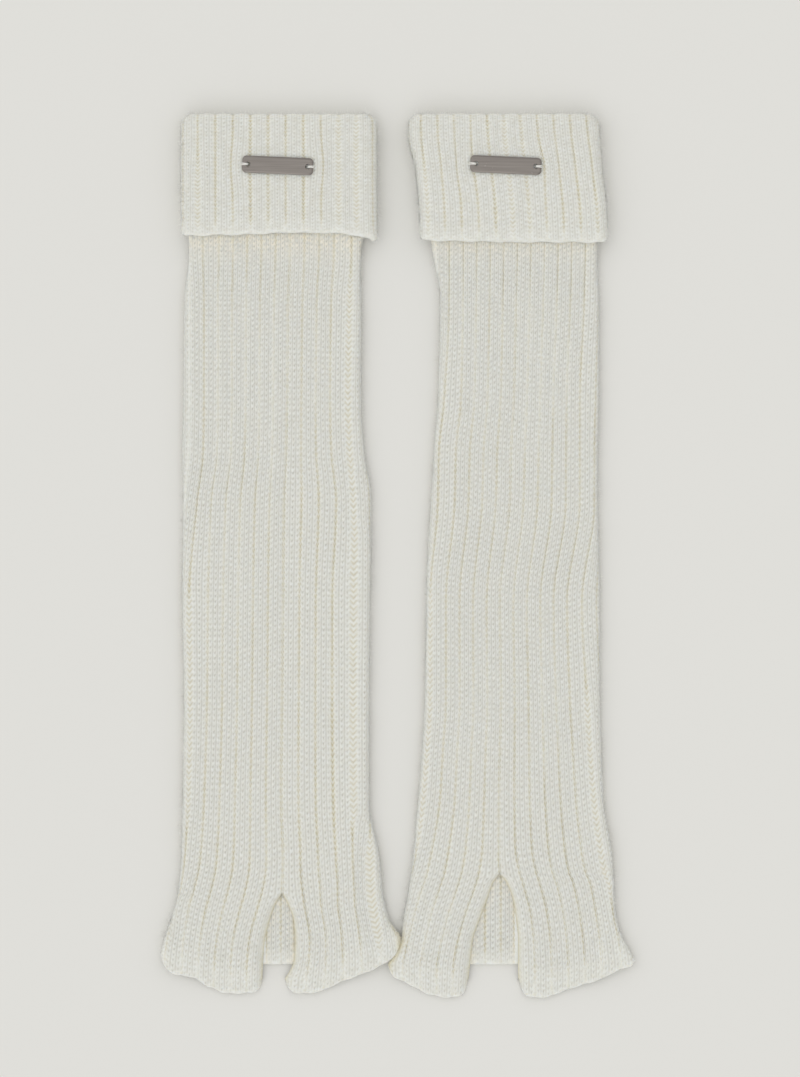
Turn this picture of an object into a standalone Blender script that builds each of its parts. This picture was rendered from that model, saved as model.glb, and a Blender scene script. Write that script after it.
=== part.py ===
"""A pair of rib-knit leg warmers, laid flat side by side with their cuffs turned down.

Frame: +X to the right, +Y towards the cuffs, +Z up off the surface that they lie on, and the
origin at the middle of the pair's footprint, on that surface. Sizes below are millimetres.

Each leg warmer is a flattened tube. From the surface up, its layers are the back of the
turned-down cuff, the back of the leg, the front of the leg and the front of the cuff. The
front of the leg has a slit in the middle of its hem, and a metal plate is sewn on the cuff.
"""
from collections import namedtuple
import math

import bmesh
import bpy
import numpy as np
from mathutils import Matrix, Vector

MM = 0.001

# The knit: a 3x1 rib, whose purl columns are the grooves
WALL = 2.6
GAP = 0.3
LAYER = WALL + GAP
GROOVE_DEPTH = 1.2
GROOVE_HALF_WIDTH = 1.35
GROOVE_BOTTOM = 0.45
SHOULDER_DROP = 0.15
RIB_HALF_WIDTH = 2.4
HEM_BAND = 5.0
RIM = 0.8
FEWEST_STEP = 0.16
LINING_INSET = 0.1 * WALL

# The stack of layers where the cuff is turned down
STACK = 4.0 * WALL + 3.0 * GAP
MIDDLE = STACK / 2.0
CUFF_RADIUS = MIDDLE - GAP / 2.0
CUFF_INNER_RADIUS = CUFF_RADIUS - WALL
CUFF_TOP = 230.0
TURN = WALL + GAP / 2.0
CORNER_RADIUS = 5.0
LEG_TOP = CUFF_TOP - TURN - GAP
BACK_CUFF_HEM = 168.0
RISE_LENGTH = 20.0

# How finely each wall is drawn
ROLL_ANGLES = (12.0, 40.0, 66.0, 90.0)
CUFF_ROLL_ANGLES = (5.0, 24.0, 46.0, 68.0, 90.0)
PLAIN_COLUMNS = 12
HEM_FRACTIONS = (0.0, 0.018, 0.11, 0.24, 0.45, 0.68, 0.86, 1.0)
LEG_HEIGHTS = (-160.0, -143.0, -120.0, -75.0, -23.0, 5.0, 29.0, 42.0, 55.0, 81.0, 133.0, 148.0,
               154.0, 161.0, 168.0, 200.0, LEG_TOP)
CUFF_HEM_ROWS = (0.0, RIM, HEM_BAND, 2.0 * HEM_BAND)
CUFF_HEIGHTS = (193.0, 215.0)
CUFF_INNER_ANGLES = (45.0, 90.0)
CUFF_EDGE = 0.3 * WALL
CUFF_RIM_OUTER = 0.2
CUFF_RIM_INNER = 0.1
TURN_ROWS = (2.45, 1.5, 0.7, 0.15)

# The leg's hems
BACK_HEM = -212.7
BACK_TURN = -160.0
OVERHANG = 13.0
BAND_DEPTH = 0.3
RIM_ROUNDING = 0.5
SLIT_OPENING = 3.0

# The plates
PLATE_LENGTH = 37.0
PLATE_WIDTH = 8.9
PLATE_THICKNESS = 1.2
PLATE_CORNER = 3.0
PLATE_TILT = -2.5
HOLE_SPACING = 31.0
HOLE_RADIUS = 0.9
HOLE_SIDES = 16
PLATE_EASE = 0.3
CORNER_STEPS = 5

KNIT_COLOUR = (0.66, 0.66, 0.60)
PLATE_COLOUR = (0.30, 0.28, 0.27)

# One row for each measured height: the tube's edges, and the grooves that steer the others.
# slit_left and slit_right are one groove down to where the slit opens, and groove_late is the one
# that Leg.late_groove numbers.
Section = namedtuple("Section", "y left groove_1 groove_2 slit_left slit_right groove_late groove_last right")
# A hem is higher or lower from place to place
Hem = namedtuple("Hem", "x y")
# The turned-down cuff: its edges, and its first and last grooves
CuffSection = namedtuple("CuffSection", "y left first last right")
# A place where the knit stands up off what it lies on
Lift = namedtuple("Lift", "x y rise reach")
Leg = namedtuple("Leg", "name sections slit_groove late_groove grooves slit_top hem_left hem_right hem_back "
                        "lifts cuff cuff_grooves cuff_hem plate")

LEFT = Leg(
    name="left",
    sections=(
        Section(226.0, -108.7, -101.4, -93.1, -56.2, -56.2, -33.3, -16.6, -15.0),
        Section(176.0, -108.9, -101.4, -93.1, -56.2, -56.2, -33.3, -16.6, -15.4),
        Section(159.0, -108.7, -101.4, -93.1, -56.2, -56.2, -33.3, -16.6, -19.2),
        Section(133.0, -111.3, -100.9, -93.6, -57.2, -57.2, -34.8, -17.2, -19.2),
        Section(81.0, -111.8, -100.9, -93.6, -57.7, -57.7, -35.4, -18.2, -19.2),
        Section(55.0, -112.3, -101.4, -94.1, -58.2, -58.2, -34.8, -17.2, -17.7),
        Section(29.0, -111.8, -104.5, -97.2, -59.3, -59.3, -32.2, -14.6, -14.0),
        Section(-23.0, -112.3, -108.7, -98.8, -59.8, -59.8, -34.3, -13.5, -14.6),
        Section(-75.0, -111.3, -108.2, -99.3, -60.3, -60.3, -34.3, -14.0, -15.1),
        Section(-127.0, -112.3, -109.2, -100.9, -60.8, -60.8, -33.8, -14.0, -15.1),
        Section(-158.0, -112.8, -111.3, -103.0, -59.8, -59.8, -32.2, -14.6, -9.4),
        Section(-175.0, -114.4, -113.9, -106.6, -60.3, -60.3, -31.2, -14.0, -7.8),
        Section(-180.5, -115.4, -116.0, -108.2, -63.4, -57.7, -31.2, -13.5, -6.8),
        Section(-189.0, -118.0, -118.1, -109.8, -66.6, -54.6, -30.2, -12.0, -4.7),
        Section(-199.5, -121.7, -120.1, -111.3, -69.2, -53.6, -29.1, -10.4, 1.3),
        Section(-210.0, -123.8, -121.7, -112.3, -70.2, -54.2, -28.6, -9.4, 1.5),
        Section(-214.0, -123.8, -122.0, -112.5, -70.4, -55.4, -28.6, -9.4, 1.5),
        Section(-220.0, -123.8, -122.0, -112.8, -70.6, -58.9, -28.8, -9.4, 1.5),
    ),
    slit_groove=7, late_groove=10, grooves=12, slit_top=-175.0,
    hem_left=(Hem(-123.8, -207.5), Hem(-121.2, -214.2), Hem(-113.4, -218.4), Hem(-108.2, -218.9),
              Hem(-97.8, -224.6), Hem(-87.4, -227.8), Hem(-79.0, -227.6), Hem(-74.5, -226.8),
              Hem(-71.8, -224.6), Hem(-70.6, -220.5)),
    hem_right=(Hem(-58.9, -220.5), Hem(-57.6, -224.4), Hem(-54.5, -226.9), Hem(-50.0, -227.8),
               Hem(-40.6, -226.7), Hem(-32.8, -223.1), Hem(-22.4, -218.9), Hem(-12.0, -214.6),
               Hem(-5.4, -210.6), Hem(0.4, -204.2), Hem(1.3, -199.7)),
    hem_back=(Hem(-123.8, -207.5), Hem(-121.5, -211.0), Hem(-117.0, -212.7), Hem(-9.0, -212.7),
              Hem(-5.4, -210.6), Hem(0.4, -204.2), Hem(1.3, -199.7)),
    lifts=(Lift(-73.0, -212.0, 2.0, 13.0), Lift(-50.0, -212.0, 1.5, 12.0),
           Lift(-104.0, -214.0, 0.9, 9.0), Lift(-22.0, -208.0, 1.0, 10.0)),
    cuff=(
        CuffSection(230.0, -112.8, -104.0, -21.8, -10.9),
        CuffSection(200.0, -113.0, -104.0, -21.8, -10.9),
        CuffSection(162.0, -112.6, -104.0, -21.4, -10.6),
    ),
    cuff_grooves=10,
    cuff_hem=(Hem(-113.0, 166.2), Hem(-82.0, 166.9), Hem(-51.0, 168.0), Hem(-30.0, 167.4),
              Hem(-17.2, 165.4), Hem(-10.6, 163.0)),
    plate=(-62.4, 202.7),
)

RIGHT = Leg(
    name="right",
    sections=(
        Section(226.0, 12.0, 26.5, 33.8, 61.9, 61.9, 97.2, 104.5, 100.6),
        Section(205.0, 14.5, 26.5, 33.8, 61.9, 61.9, 97.2, 104.5, 101.8),
        Section(176.0, 15.5, 26.5, 33.8, 61.9, 61.9, 97.2, 104.5, 104.0),
        Section(159.0, 17.7, 26.5, 33.8, 61.9, 61.9, 97.2, 104.5, 103.5),
        Section(133.0, 21.8, 26.5, 33.8, 61.4, 61.4, 96.7, 104.5, 104.5),
        Section(81.0, 20.8, 23.9, 32.8, 60.3, 60.3, 94.6, 103.0, 104.5),
        Section(55.0, 18.7, 21.3, 30.2, 58.8, 58.8, 94.6, 102.4, 104.0),
        Section(29.0, 17.2, 20.8, 29.6, 58.2, 58.2, 94.6, 102.4, 104.0),
        Section(-23.0, 14.6, 16.6, 25.0, 53.0, 53.0, 87.9, 95.7, 105.0),
        Section(-75.0, 14.0, 16.6, 25.0, 53.6, 53.6, 89.4, 98.3, 105.0),
        Section(-101.0, 12.5, 15.1, 23.4, 53.0, 53.0, 91.0, 99.8, 106.1),
        Section(-127.0, 10.4, 13.0, 21.8, 52.5, 52.5, 92.6, 101.9, 107.1),
        Section(-158.0, 7.8, 8.3, 16.6, 52.5, 52.5, 96.2, 106.1, 111.8),
        Section(-165.0, 6.8, 6.8, 15.1, 53.0, 53.0, 97.8, 107.6, 112.1),
        Section(-169.5, 6.2, 5.2, 13.5, 49.9, 56.2, 99.8, 109.7, 112.3),
        Section(-179.0, 4.7, 3.6, 10.4, 46.3, 59.8, 101.9, 111.3, 112.8),
        Section(-189.0, 2.9, 0.5, 7.8, 42.6, 61.4, 103.5, 112.8, 113.9),
        Section(-199.5, 2.2, -2.1, 5.7, 39.0, 62.4, 105.0, 114.9, 117.5),
        Section(-207.0, -1.2, -4.1, 4.4, 38.0, 62.4, 105.6, 115.9, 121.4),
        Section(-213.5, -4.9, -6.8, 3.1, 37.4, 62.4, 106.1, 116.5, 124.1),
        Section(-221.0, -4.9, -6.8, 3.1, 36.6, 62.7, 106.1, 116.5, 124.1),
    ),
    slit_groove=6, late_groove=11, grooves=12, slit_top=-165.0,
    hem_left=(Hem(-4.9, -213.6), Hem(-3.1, -217.9), Hem(6.2, -223.1), Hem(16.6, -228.3),
              Hem(27.0, -229.9), Hem(31.5, -229.1), Hem(34.8, -226.6), Hem(36.6, -221.0)),
    hem_right=(Hem(62.7, -220.5), Hem(64.0, -225.0), Hem(67.0, -228.8), Hem(71.5, -229.9),
               Hem(76.4, -229.8), Hem(86.8, -226.2), Hem(96.0, -223.2), Hem(105.0, -220.5),
               Hem(112.8, -216.3), Hem(121.8, -212.9), Hem(124.1, -210.4)),
    hem_back=(Hem(-4.9, -212.0), Hem(0.0, -212.7), Hem(118.0, -212.7), Hem(122.0, -212.0),
              Hem(124.1, -210.4)),
    lifts=(Lift(34.0, -213.0, 2.2, 13.0), Lift(67.0, -213.0, 1.9, 13.0),
           Lift(8.0, -212.0, 1.0, 10.0), Lift(100.0, -214.0, 1.1, 10.0)),
    cuff=(
        CuffSection(230.0, 5.2, 11.8, 97.6, 104.6),
        CuffSection(219.0, 5.2, 12.0, 98.6, 105.1),
        CuffSection(200.0, 9.2, 13.8, 101.0, 106.4),
        CuffSection(180.0, 10.9, 15.3, 103.3, 108.6),
        CuffSection(162.0, 11.5, 15.8, 104.2, 109.0),
    ),
    cuff_grooves=11,
    cuff_hem=(Hem(11.5, 163.8), Hem(60.0, 163.1), Hem(109.0, 162.8)),
    plate=(56.0, 202.9),
)


def smooth_between(knots, values, at):
    """A cubic through (knot, value) pairs that never overshoots them. The knots rise."""
    if at <= knots[0]:
        return values[0]
    if at >= knots[-1]:
        return values[-1]
    steps = np.diff(values) / np.diff(knots)
    slopes = np.concatenate(([steps[0]], np.zeros(len(steps) - 1), [steps[-1]]))
    for i in range(1, len(steps)):
        if steps[i - 1] * steps[i] > 0.0:
            slopes[i] = 2.0 * steps[i - 1] * steps[i] / (steps[i - 1] + steps[i])
    i = int(np.searchsorted(knots, at)) - 1
    width = knots[i + 1] - knots[i]
    t = (at - knots[i]) / width
    rise = values[i + 1] - values[i]
    bend_in = slopes[i] * width
    bend_out = slopes[i + 1] * width
    return (values[i] + bend_in * t + (3.0 * rise - 2.0 * bend_in - bend_out) * t * t
            + (bend_in + bend_out - 2.0 * rise) * t ** 3)


def row_at(table, y):
    """The row of a table of sections, worked out for any height y."""
    rows = sorted(table)
    knots = [row.y for row in rows]
    return type(rows[0])(*(smooth_between(knots, column, y) for column in zip(*rows)))


def hem_at(points, x):
    """How low a hem reaches at x."""
    points = sorted(points)
    return smooth_between([point.x for point in points], [point.y for point in points], x)


def ease(value):
    """From 0 to 1, level at both ends."""
    t = min(max(value, 0.0), 1.0)
    return t * t * (3.0 - 2.0 * t)


def rise_onto_cuff(y):
    """The leg climbs by one layer onto the back of the turned-down cuff."""
    return LAYER * ease((y - BACK_CUFF_HEM + RISE_LENGTH) / (RISE_LENGTH - GAP))


def in_order(positions, low, high):
    """Moves columns that would pass the cloth's edges back inside them, each apart from the next."""
    count = len(positions)
    kept = []
    for i, x in enumerate(positions):
        lowest = low + FEWEST_STEP * (i + 1)
        highest = high - FEWEST_STEP * (count - i)
        kept.append(min(max(x, lowest), highest))
    return kept


def flap_grooves(low, high, centres):
    """The lines across one flap: four for each groove, and a crown on each rib between two.

    A groove fades as it meets an edge. The depth below the crowns comes with each position.
    """
    offsets = (-GROOVE_HALF_WIDTH, -GROOVE_BOTTOM, GROOVE_BOTTOM, GROOVE_HALF_WIDTH)
    positions = []
    depths = []
    for i, x in enumerate(centres):
        if i > 0:
            positions.append((centres[i - 1] + x) / 2.0)
            depths.append(0.0)
        depth = GROOVE_DEPTH * ease(min(x - low, high - x) / GROOVE_HALF_WIDTH)
        positions += [x + offset for offset in offsets]
        depths += [SHOULDER_DROP, depth, depth, SHOULDER_DROP]
    return in_order(positions, low, high), depths


def edge_roll(edge, radius, angles, side):
    """A side fold's quarter round, as (x, height) in order of x. side is 1 on the left, -1 on the right."""
    steps = []
    for angle in angles:
        inward = radius * (1.0 - math.cos(math.radians(angle)))
        steps.append((edge + side * inward, radius * math.sin(math.radians(angle))))
    return steps if side > 0 else steps[::-1]


def plain_line(low, high, columns):
    """Evenly spaced x from low to high."""
    return [low + (high - low) * i / (columns - 1) for i in range(columns)]


def flap_outer(leg, y, side):
    """The outer line across half of the leg's front at y, in order of x: (x, height, groove depth)."""
    row = row_at(leg.sections, y)
    opened = ease((row.slit_right - row.slit_left) / SLIT_OPENING)
    shoulder = GROOVE_HALF_WIDTH - GROOVE_BOTTOM
    if side > 0:
        slit = row.slit_left - GROOVE_BOTTOM * (1.0 - opened)
        numbers = range(1, leg.slit_groove)
        known = (1, 2, leg.slit_groove), (row.groove_1, row.groove_2, row.slit_left)
        low, high = row.left + WALL, slit - shoulder - RIB_HALF_WIDTH
        edge = row.left
    else:
        slit = row.slit_right + GROOVE_BOTTOM * (1.0 - opened)
        numbers = range(leg.slit_groove + 1, leg.grooves + 1)
        known = ((leg.slit_groove, leg.late_groove, leg.grooves),
                 (row.slit_right, row.groove_late, row.groove_last))
        low, high = slit + shoulder + RIB_HALF_WIDTH, row.right - WALL
        edge = row.right
    centres = [float(np.interp(number, *known)) for number in numbers]
    grooves = [(x, WALL, depth) for x, depth in zip(*flap_grooves(low, high, centres))]
    roll = [(x, height, 0.0) for x, height in edge_roll(edge, WALL, ROLL_ANGLES, side)]
    crown = slit - side * (shoulder + RIB_HALF_WIDTH)
    slit_line = [(crown, WALL, 0.0), (slit - side * shoulder, WALL, SHOULDER_DROP),
                 (slit, WALL, GROOVE_DEPTH)]
    if side > 0:
        return roll + grooves + slit_line
    return slit_line[::-1] + grooves + roll


def flap_inner(leg, y, side):
    """The inner line across the same half: plain, as (x, height, groove depth) of none."""
    line = flap_outer(leg, y, side)
    low = line[0][0] + (LINING_INSET if side > 0 else 0.0)
    high = line[-1][0] - (LINING_INSET if side < 0 else 0.0)
    return [(x, 0.0, 0.0) for x in plain_line(low, high, PLAIN_COLUMNS // 2)]


def back_under(leg, y, side=0):
    """The underside's line across the back of the leg at y: flat between its two side folds."""
    row = row_at(leg.sections, y)
    left = [(x, WALL - height, 0.0) for x, height in edge_roll(row.left, WALL, ROLL_ANGLES, 1)]
    right = [(x, WALL - height, 0.0) for x, height in edge_roll(row.right, WALL, ROLL_ANGLES, -1)]
    flat = plain_line(left[-1][0], right[0][0], PLAIN_COLUMNS)[1:-1]
    return left + [(x, 0.0, 0.0) for x in flat] + right


def back_upper(leg, y, side=0):
    """The upper line across the back of the leg: plain."""
    row = row_at(leg.sections, y)
    low, high = row.left + LINING_INSET, row.right - LINING_INSET
    return [(x, WALL, 0.0) for x in plain_line(low, high, PLAIN_COLUMNS)]


def front_floor(leg, x, y):
    """Where the front's underside is: on the back, raised in places, and low past the back's hem."""
    floor = LAYER + rise_onto_cuff(y)
    for lift in leg.lifts:
        away = math.hypot(x - lift.x, y - lift.y) / lift.reach
        floor += lift.rise * math.exp(-away * away)
    overhang = BACK_HEM - RIM - y
    return floor - (LAYER - 2.0 * GAP) * ease(overhang / OVERHANG)


def back_floor(leg, x, y):
    """Where the back's underside is: on the surface, then up on the cuff's back."""
    return rise_onto_cuff(y)


def line_points(line, floor, leg, hem, side, top, fraction, rim_share):
    """One row of points that follows the hem, at a part of the way from the hem to top."""
    points = []
    for j in range(len(line(leg, 0.0, side))):
        hem_y = top
        for _ in range(5):
            hem_y = hem_at(hem, line(leg, hem_y, side)[j][0])
        y = hem_y + (top - hem_y) * fraction
        x, height, depth = line(leg, y, side)[j]
        depth *= max(ease((y - hem_y) / HEM_BAND), BAND_DEPTH)
        if fraction == 0.0:
            height += (WALL / 2.0 - height) * rim_share
        points.append((x, y, floor(leg, x, y) + height - depth))
    return points


def level_points(line, floor, leg, side, y):
    """One row of points that lies straight across at y."""
    return [(x, y, floor(leg, x, y) + height - depth) for x, height, depth in line(leg, y, side)]


def wall_rows(upper, lower, floor, leg, hem, side, top, heights):
    """A wall from its hem up, as rows of an upper and a lower line of points."""
    rows = []
    for fraction in HEM_FRACTIONS:
        rows.append([line_points(line, floor, leg, hem, side, top, fraction, RIM_ROUNDING)
                     for line in (upper, lower)])
    for y in heights:
        rows.append([level_points(line, floor, leg, side, y) for line in (upper, lower)])
    return rows


def add_points(bm, points):
    """New vertices at points in millimetres."""
    return [bm.verts.new((x * MM, y * MM, z * MM)) for x, y, z in points]


def ring(upper, lower):
    """A wall's section as one closed loop."""
    return list(upper) + list(reversed(lower))


def join_rings(bm, first, second):
    """Faces between two closed loops of the same count."""
    count = len(first)
    for i in range(count):
        j = (i + 1) % count
        bm.faces.new((first[i], first[j], second[j], second[i]))


def close_end(bm, upper, lower):
    """Triangles across a wall's cut edge, between its upper and its lower line."""
    i = 0
    j = 0
    while i < len(upper) - 1 or j < len(lower) - 1:
        if i == len(upper) - 1:
            upper_next = False
        elif j == len(lower) - 1:
            upper_next = True
        else:
            upper_next = upper[i + 1].co.x <= lower[j + 1].co.x
        if upper_next:
            bm.faces.new((upper[i], upper[i + 1], lower[j]))
            i += 1
        else:
            bm.faces.new((upper[i], lower[j + 1], lower[j]))
            j += 1


def loft(bm, rows):
    """A closed wall through rows of upper and lower vertices."""
    for first, second in zip(rows, rows[1:]):
        join_rings(bm, ring(*first), ring(*second))


def finish_piece(bm, name, material):
    """The mesh as a named object, with its faces pointing out."""
    bmesh.ops.recalc_face_normals(bm, faces=bm.faces)
    mesh = bpy.data.meshes.new(name)
    bm.to_mesh(mesh)
    bm.free()
    mesh.materials.append(material)
    mesh.shade_smooth()
    mesh.set_sharp_from_angle(angle=math.radians(50.0))
    piece = bpy.data.objects.new(name, mesh)
    bpy.context.scene.collection.objects.link(piece)
    return piece


def make_material(name, colour, roughness, metallic):
    """A plain Principled material."""
    material = bpy.data.materials.new(name)
    material.use_nodes = True
    shader = material.node_tree.nodes["Principled BSDF"]
    shader.inputs["Base Color"].default_value = (*colour, 1.0)
    shader.inputs["Roughness"].default_value = roughness
    shader.inputs["Metallic"].default_value = metallic
    return material


def leg_front(leg, material):
    """The front of the leg: two flaps that are one wall above the slit."""
    bm = bmesh.new()
    halves = []
    for side, hem in ((1, leg.hem_left), (-1, leg.hem_right)):
        rows = wall_rows(flap_outer, flap_inner, front_floor, leg, hem, side, leg.slit_top,
                         [y for y in LEG_HEIGHTS if y > leg.slit_top])
        halves.append([[add_points(bm, line) for line in row] for row in rows])
    split = len(HEM_FRACTIONS)
    for rows in halves:
        loft(bm, rows[:split])
        close_end(bm, *rows[0])
    whole = [[left[0] + right[0], left[1] + right[1]] for left, right in zip(*halves)]
    loft(bm, whole[split - 1:])
    close_end(bm, *whole[-1])
    left_end, right_end = halves[0][split - 1], halves[1][split - 1]
    bm.faces.new((left_end[0][-1], right_end[0][0], right_end[1][0], left_end[1][-1]))
    return finish_piece(bm, leg.name + "_leg_front", material)


def leg_back(leg, material):
    """The back of the leg, which lies on the surface."""
    bm = bmesh.new()
    rows = wall_rows(back_upper, back_under, back_floor, leg, leg.hem_back, 0, BACK_TURN,
                     [y for y in LEG_HEIGHTS if y > BACK_TURN])
    rows = [[add_points(bm, line) for line in row] for row in rows]
    loft(bm, rows)
    close_end(bm, *rows[0])
    close_end(bm, *rows[-1])
    return finish_piece(bm, leg.name + "_leg_back", material)


def cuff_row(leg, y, hem_y, ribbed, over_leg, rim):
    """One row of the cuff's front: its outer line, and its inner line over the leg or at the fold."""
    row = row_at(leg.cuff, y)
    from_top = CUFF_TOP - y
    corner = max(1.0 - from_top / CORNER_RADIUS, 0.0)
    inset = CORNER_RADIUS * (1.0 - math.sqrt(1.0 - corner * corner))
    left, right = row.left + inset, row.right - inset
    fold = max(1.0 - from_top / TURN, 0.0)
    roundness = math.sqrt(1.0 - fold * fold)
    floor = MIDDLE + GAP / 2.0 + (rise_onto_cuff(y) - LAYER if ribbed else 0.0)
    outer = edge_roll(left, CUFF_RADIUS, CUFF_ROLL_ANGLES, 1)
    low, high = left + CUFF_RADIUS, right - CUFF_RADIUS
    if ribbed:
        numbers = range(leg.cuff_grooves)
        centres = [row.first + (row.last - row.first) * i / (leg.cuff_grooves - 1) for i in numbers]
        fade = max(ease((y - hem_y - RIM) / HEM_BAND), BAND_DEPTH) * roundness
        outer += [(x, CUFF_RADIUS - depth * fade) for x, depth in zip(*flap_grooves(low, high, centres))]
    else:
        outer += [(x, CUFF_RADIUS) for x in plain_line(low, high, PLAIN_COLUMNS)[1:-1]]
    outer += edge_roll(right, CUFF_RADIUS, CUFF_ROLL_ANGLES, -1)
    inner = [(left + CUFF_EDGE, 0.0), (left + WALL, 0.0)]
    inner += edge_roll(left + WALL, CUFF_INNER_RADIUS, CUFF_INNER_ANGLES, 1)
    inner += [(x, CUFF_INNER_RADIUS) for x in plain_line(low, high, PLAIN_COLUMNS)[1:-1]]
    inner += edge_roll(right - WALL, CUFF_INNER_RADIUS, CUFF_INNER_ANGLES, -1)
    inner += [(right - WALL, 0.0), (right - CUFF_EDGE, 0.0)]
    if not over_leg:
        inner = [(x, 0.0) for x, _ in inner]
    if rim:
        outer = [(x, height + (CUFF_INNER_RADIUS - height) * CUFF_RIM_OUTER) for x, height in outer]
        inner = [(x, height + (CUFF_RADIUS - height) * CUFF_RIM_INNER) for x, height in inner]

    def folded(points):
        """Rounds the wall's turn at the top: each height closes in on the middle of the turn."""
        closed = []
        for x, height in points:
            across = 1.0 - min(max(min(x - left, right - x) / CUFF_RADIUS, 0.0), 1.0)
            middle = CUFF_RADIUS * math.sqrt(1.0 - across * across) / 2.0
            closed.append((x, y, floor + middle + (height - middle) * roundness))
        return closed

    if over_leg:
        return [[(x, y, floor + height) for x, height in line] for line in (outer, inner)]
    return [folded(outer), folded(inner)]


def cuff(leg, material, front):
    """Half of the turned-down cuff: a wall round the leg's top, closed over it by the turn."""
    level = Hem(LEFT.cuff[0].left, BACK_CUFF_HEM), Hem(RIGHT.cuff[0].right, BACK_CUFF_HEM)
    hem = leg.cuff_hem if front else level
    bm = bmesh.new()
    rows = []
    for above in CUFF_HEM_ROWS:
        flat = cuff_row(leg, BACK_CUFF_HEM + above, BACK_CUFF_HEM, front, True, above == 0.0)
        shaped = []
        for line in flat:
            points = []
            for x, y, z in line:
                y = hem_at(hem, x) + above
                droop = rise_onto_cuff(y) - LAYER if front else 0.0
                points.append((x, y, z + droop))
            shaped.append(points)
        rows.append(shaped)
    for y in CUFF_HEIGHTS + (CUFF_TOP - TURN,):
        rows.append(cuff_row(leg, y, BACK_CUFF_HEM, front, True, False))
    for from_top in TURN_ROWS:
        rows.append(cuff_row(leg, CUFF_TOP - from_top, BACK_CUFF_HEM, front, False, False))
    if not front:
        rows = [[[(x, y, STACK - z) for x, y, z in line] for line in row] for row in rows]
    rows = [[add_points(bm, line) for line in row] for row in rows]
    loft(bm, rows)
    close_end(bm, *rows[0])
    close_end(bm, *rows[-1])
    return finish_piece(bm, leg.name + ("_cuff_front" if front else "_cuff_back"), material)


def plate_outline(inset):
    """A rectangle with round corners, as points round its middle."""
    radius = PLATE_CORNER - inset
    points = []
    for quarter in range(4):
        turn = math.radians(90.0 * quarter)
        across = (PLATE_LENGTH / 2.0 - PLATE_CORNER) * (1 if quarter in (0, 3) else -1)
        along = (PLATE_WIDTH / 2.0 - PLATE_CORNER) * (1 if quarter in (0, 1) else -1)
        for step in range(CORNER_STEPS + 1):
            angle = turn + math.radians(90.0 * step / CORNER_STEPS)
            points.append((across + radius * math.cos(angle), along + radius * math.sin(angle)))
    return points


def plate(leg, material):
    """The metal plate on the cuff's ribs, its edges eased, with a sewing hole near each end."""
    bm = bmesh.new()
    foot = STACK + GAP
    levels = ((0.0, foot), (0.0, foot + PLATE_THICKNESS - PLATE_EASE), (PLATE_EASE, foot + PLATE_THICKNESS))
    rings = [add_points(bm, [(x, y, z) for x, y in plate_outline(inset)]) for inset, z in levels]
    for first, second in zip(rings, rings[1:]):
        join_rings(bm, first, second)
    bm.faces.new(rings[0])
    bm.faces.new(rings[-1])
    place = Matrix.Translation((leg.plate[0] * MM, leg.plate[1] * MM, 0.0))
    turned = place @ Matrix.Rotation(math.radians(PLATE_TILT), 4, "Z")
    bm.transform(turned)
    piece = finish_piece(bm, leg.name + "_plate", material)
    for end in (-1, 1):
        centre = turned @ Vector((end * HOLE_SPACING / 2.0 * MM, 0.0, (foot + PLATE_THICKNESS / 2.0) * MM))
        drill = bmesh.new()
        bmesh.ops.create_cone(drill, cap_ends=True, segments=HOLE_SIDES, radius1=HOLE_RADIUS * MM,
                              radius2=HOLE_RADIUS * MM, depth=3.0 * PLATE_THICKNESS * MM,
                              matrix=Matrix.Translation(centre))
        cutter = finish_piece(drill, f"{leg.name}_drill_{end + 2}", material)
        cutter.hide_render = True
        cutter.display_type = "WIRE"
        hole = piece.modifiers.new("sewing hole", "BOOLEAN")
        hole.operation = "DIFFERENCE"
        hole.solver = "EXACT"
        hole.object = cutter
    return piece


def build():
    """Both leg warmers."""
    for old in list(bpy.data.objects):
        bpy.data.objects.remove(old)
    knit = make_material("rib knit", KNIT_COLOUR, 0.95, 0.0)
    metal = make_material("satin plate", PLATE_COLOUR, 0.35, 1.0)
    for leg in (LEFT, RIGHT):
        leg_back(leg, knit)
        leg_front(leg, knit)
        cuff(leg, knit, front=False)
        cuff(leg, knit, front=True)
        plate(leg, metal)


build()
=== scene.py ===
"""A pair of rib-knit leg warmers, laid flat side by side with their cuffs turned down.

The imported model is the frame: each knit panel and each plate here stands on its node's own form.
Sizes are millimetres until a mesh is made. +Y runs towards the cuffs, and the surface is z = 0.
"""
from collections import namedtuple
import math

import bmesh
import bpy
import numpy as np
from mathutils import Matrix, Vector


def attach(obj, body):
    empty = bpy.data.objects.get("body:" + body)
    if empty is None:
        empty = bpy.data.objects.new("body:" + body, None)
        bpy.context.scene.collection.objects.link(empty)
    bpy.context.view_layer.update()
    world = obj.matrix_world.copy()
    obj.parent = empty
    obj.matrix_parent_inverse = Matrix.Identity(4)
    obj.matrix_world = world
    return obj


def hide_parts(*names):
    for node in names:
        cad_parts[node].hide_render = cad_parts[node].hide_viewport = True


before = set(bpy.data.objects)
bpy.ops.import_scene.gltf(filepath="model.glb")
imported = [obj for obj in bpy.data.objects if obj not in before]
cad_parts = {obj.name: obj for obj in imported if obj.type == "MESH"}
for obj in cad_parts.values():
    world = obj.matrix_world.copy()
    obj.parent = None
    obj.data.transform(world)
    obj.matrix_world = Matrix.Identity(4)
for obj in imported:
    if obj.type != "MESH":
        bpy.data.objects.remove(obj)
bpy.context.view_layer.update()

# The camera looks straight down at the pair from three metres, so its lens is long and
# the two legs keep their true proportions.
MM = 0.001
VIEW_MIDDLE = (1.04, 9.1)
VIEW_HEIGHT = 560.0
VIEW_DISTANCE = 3000.0
VIEW_PLANE = 6.0
SENSOR = 36.0

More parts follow.
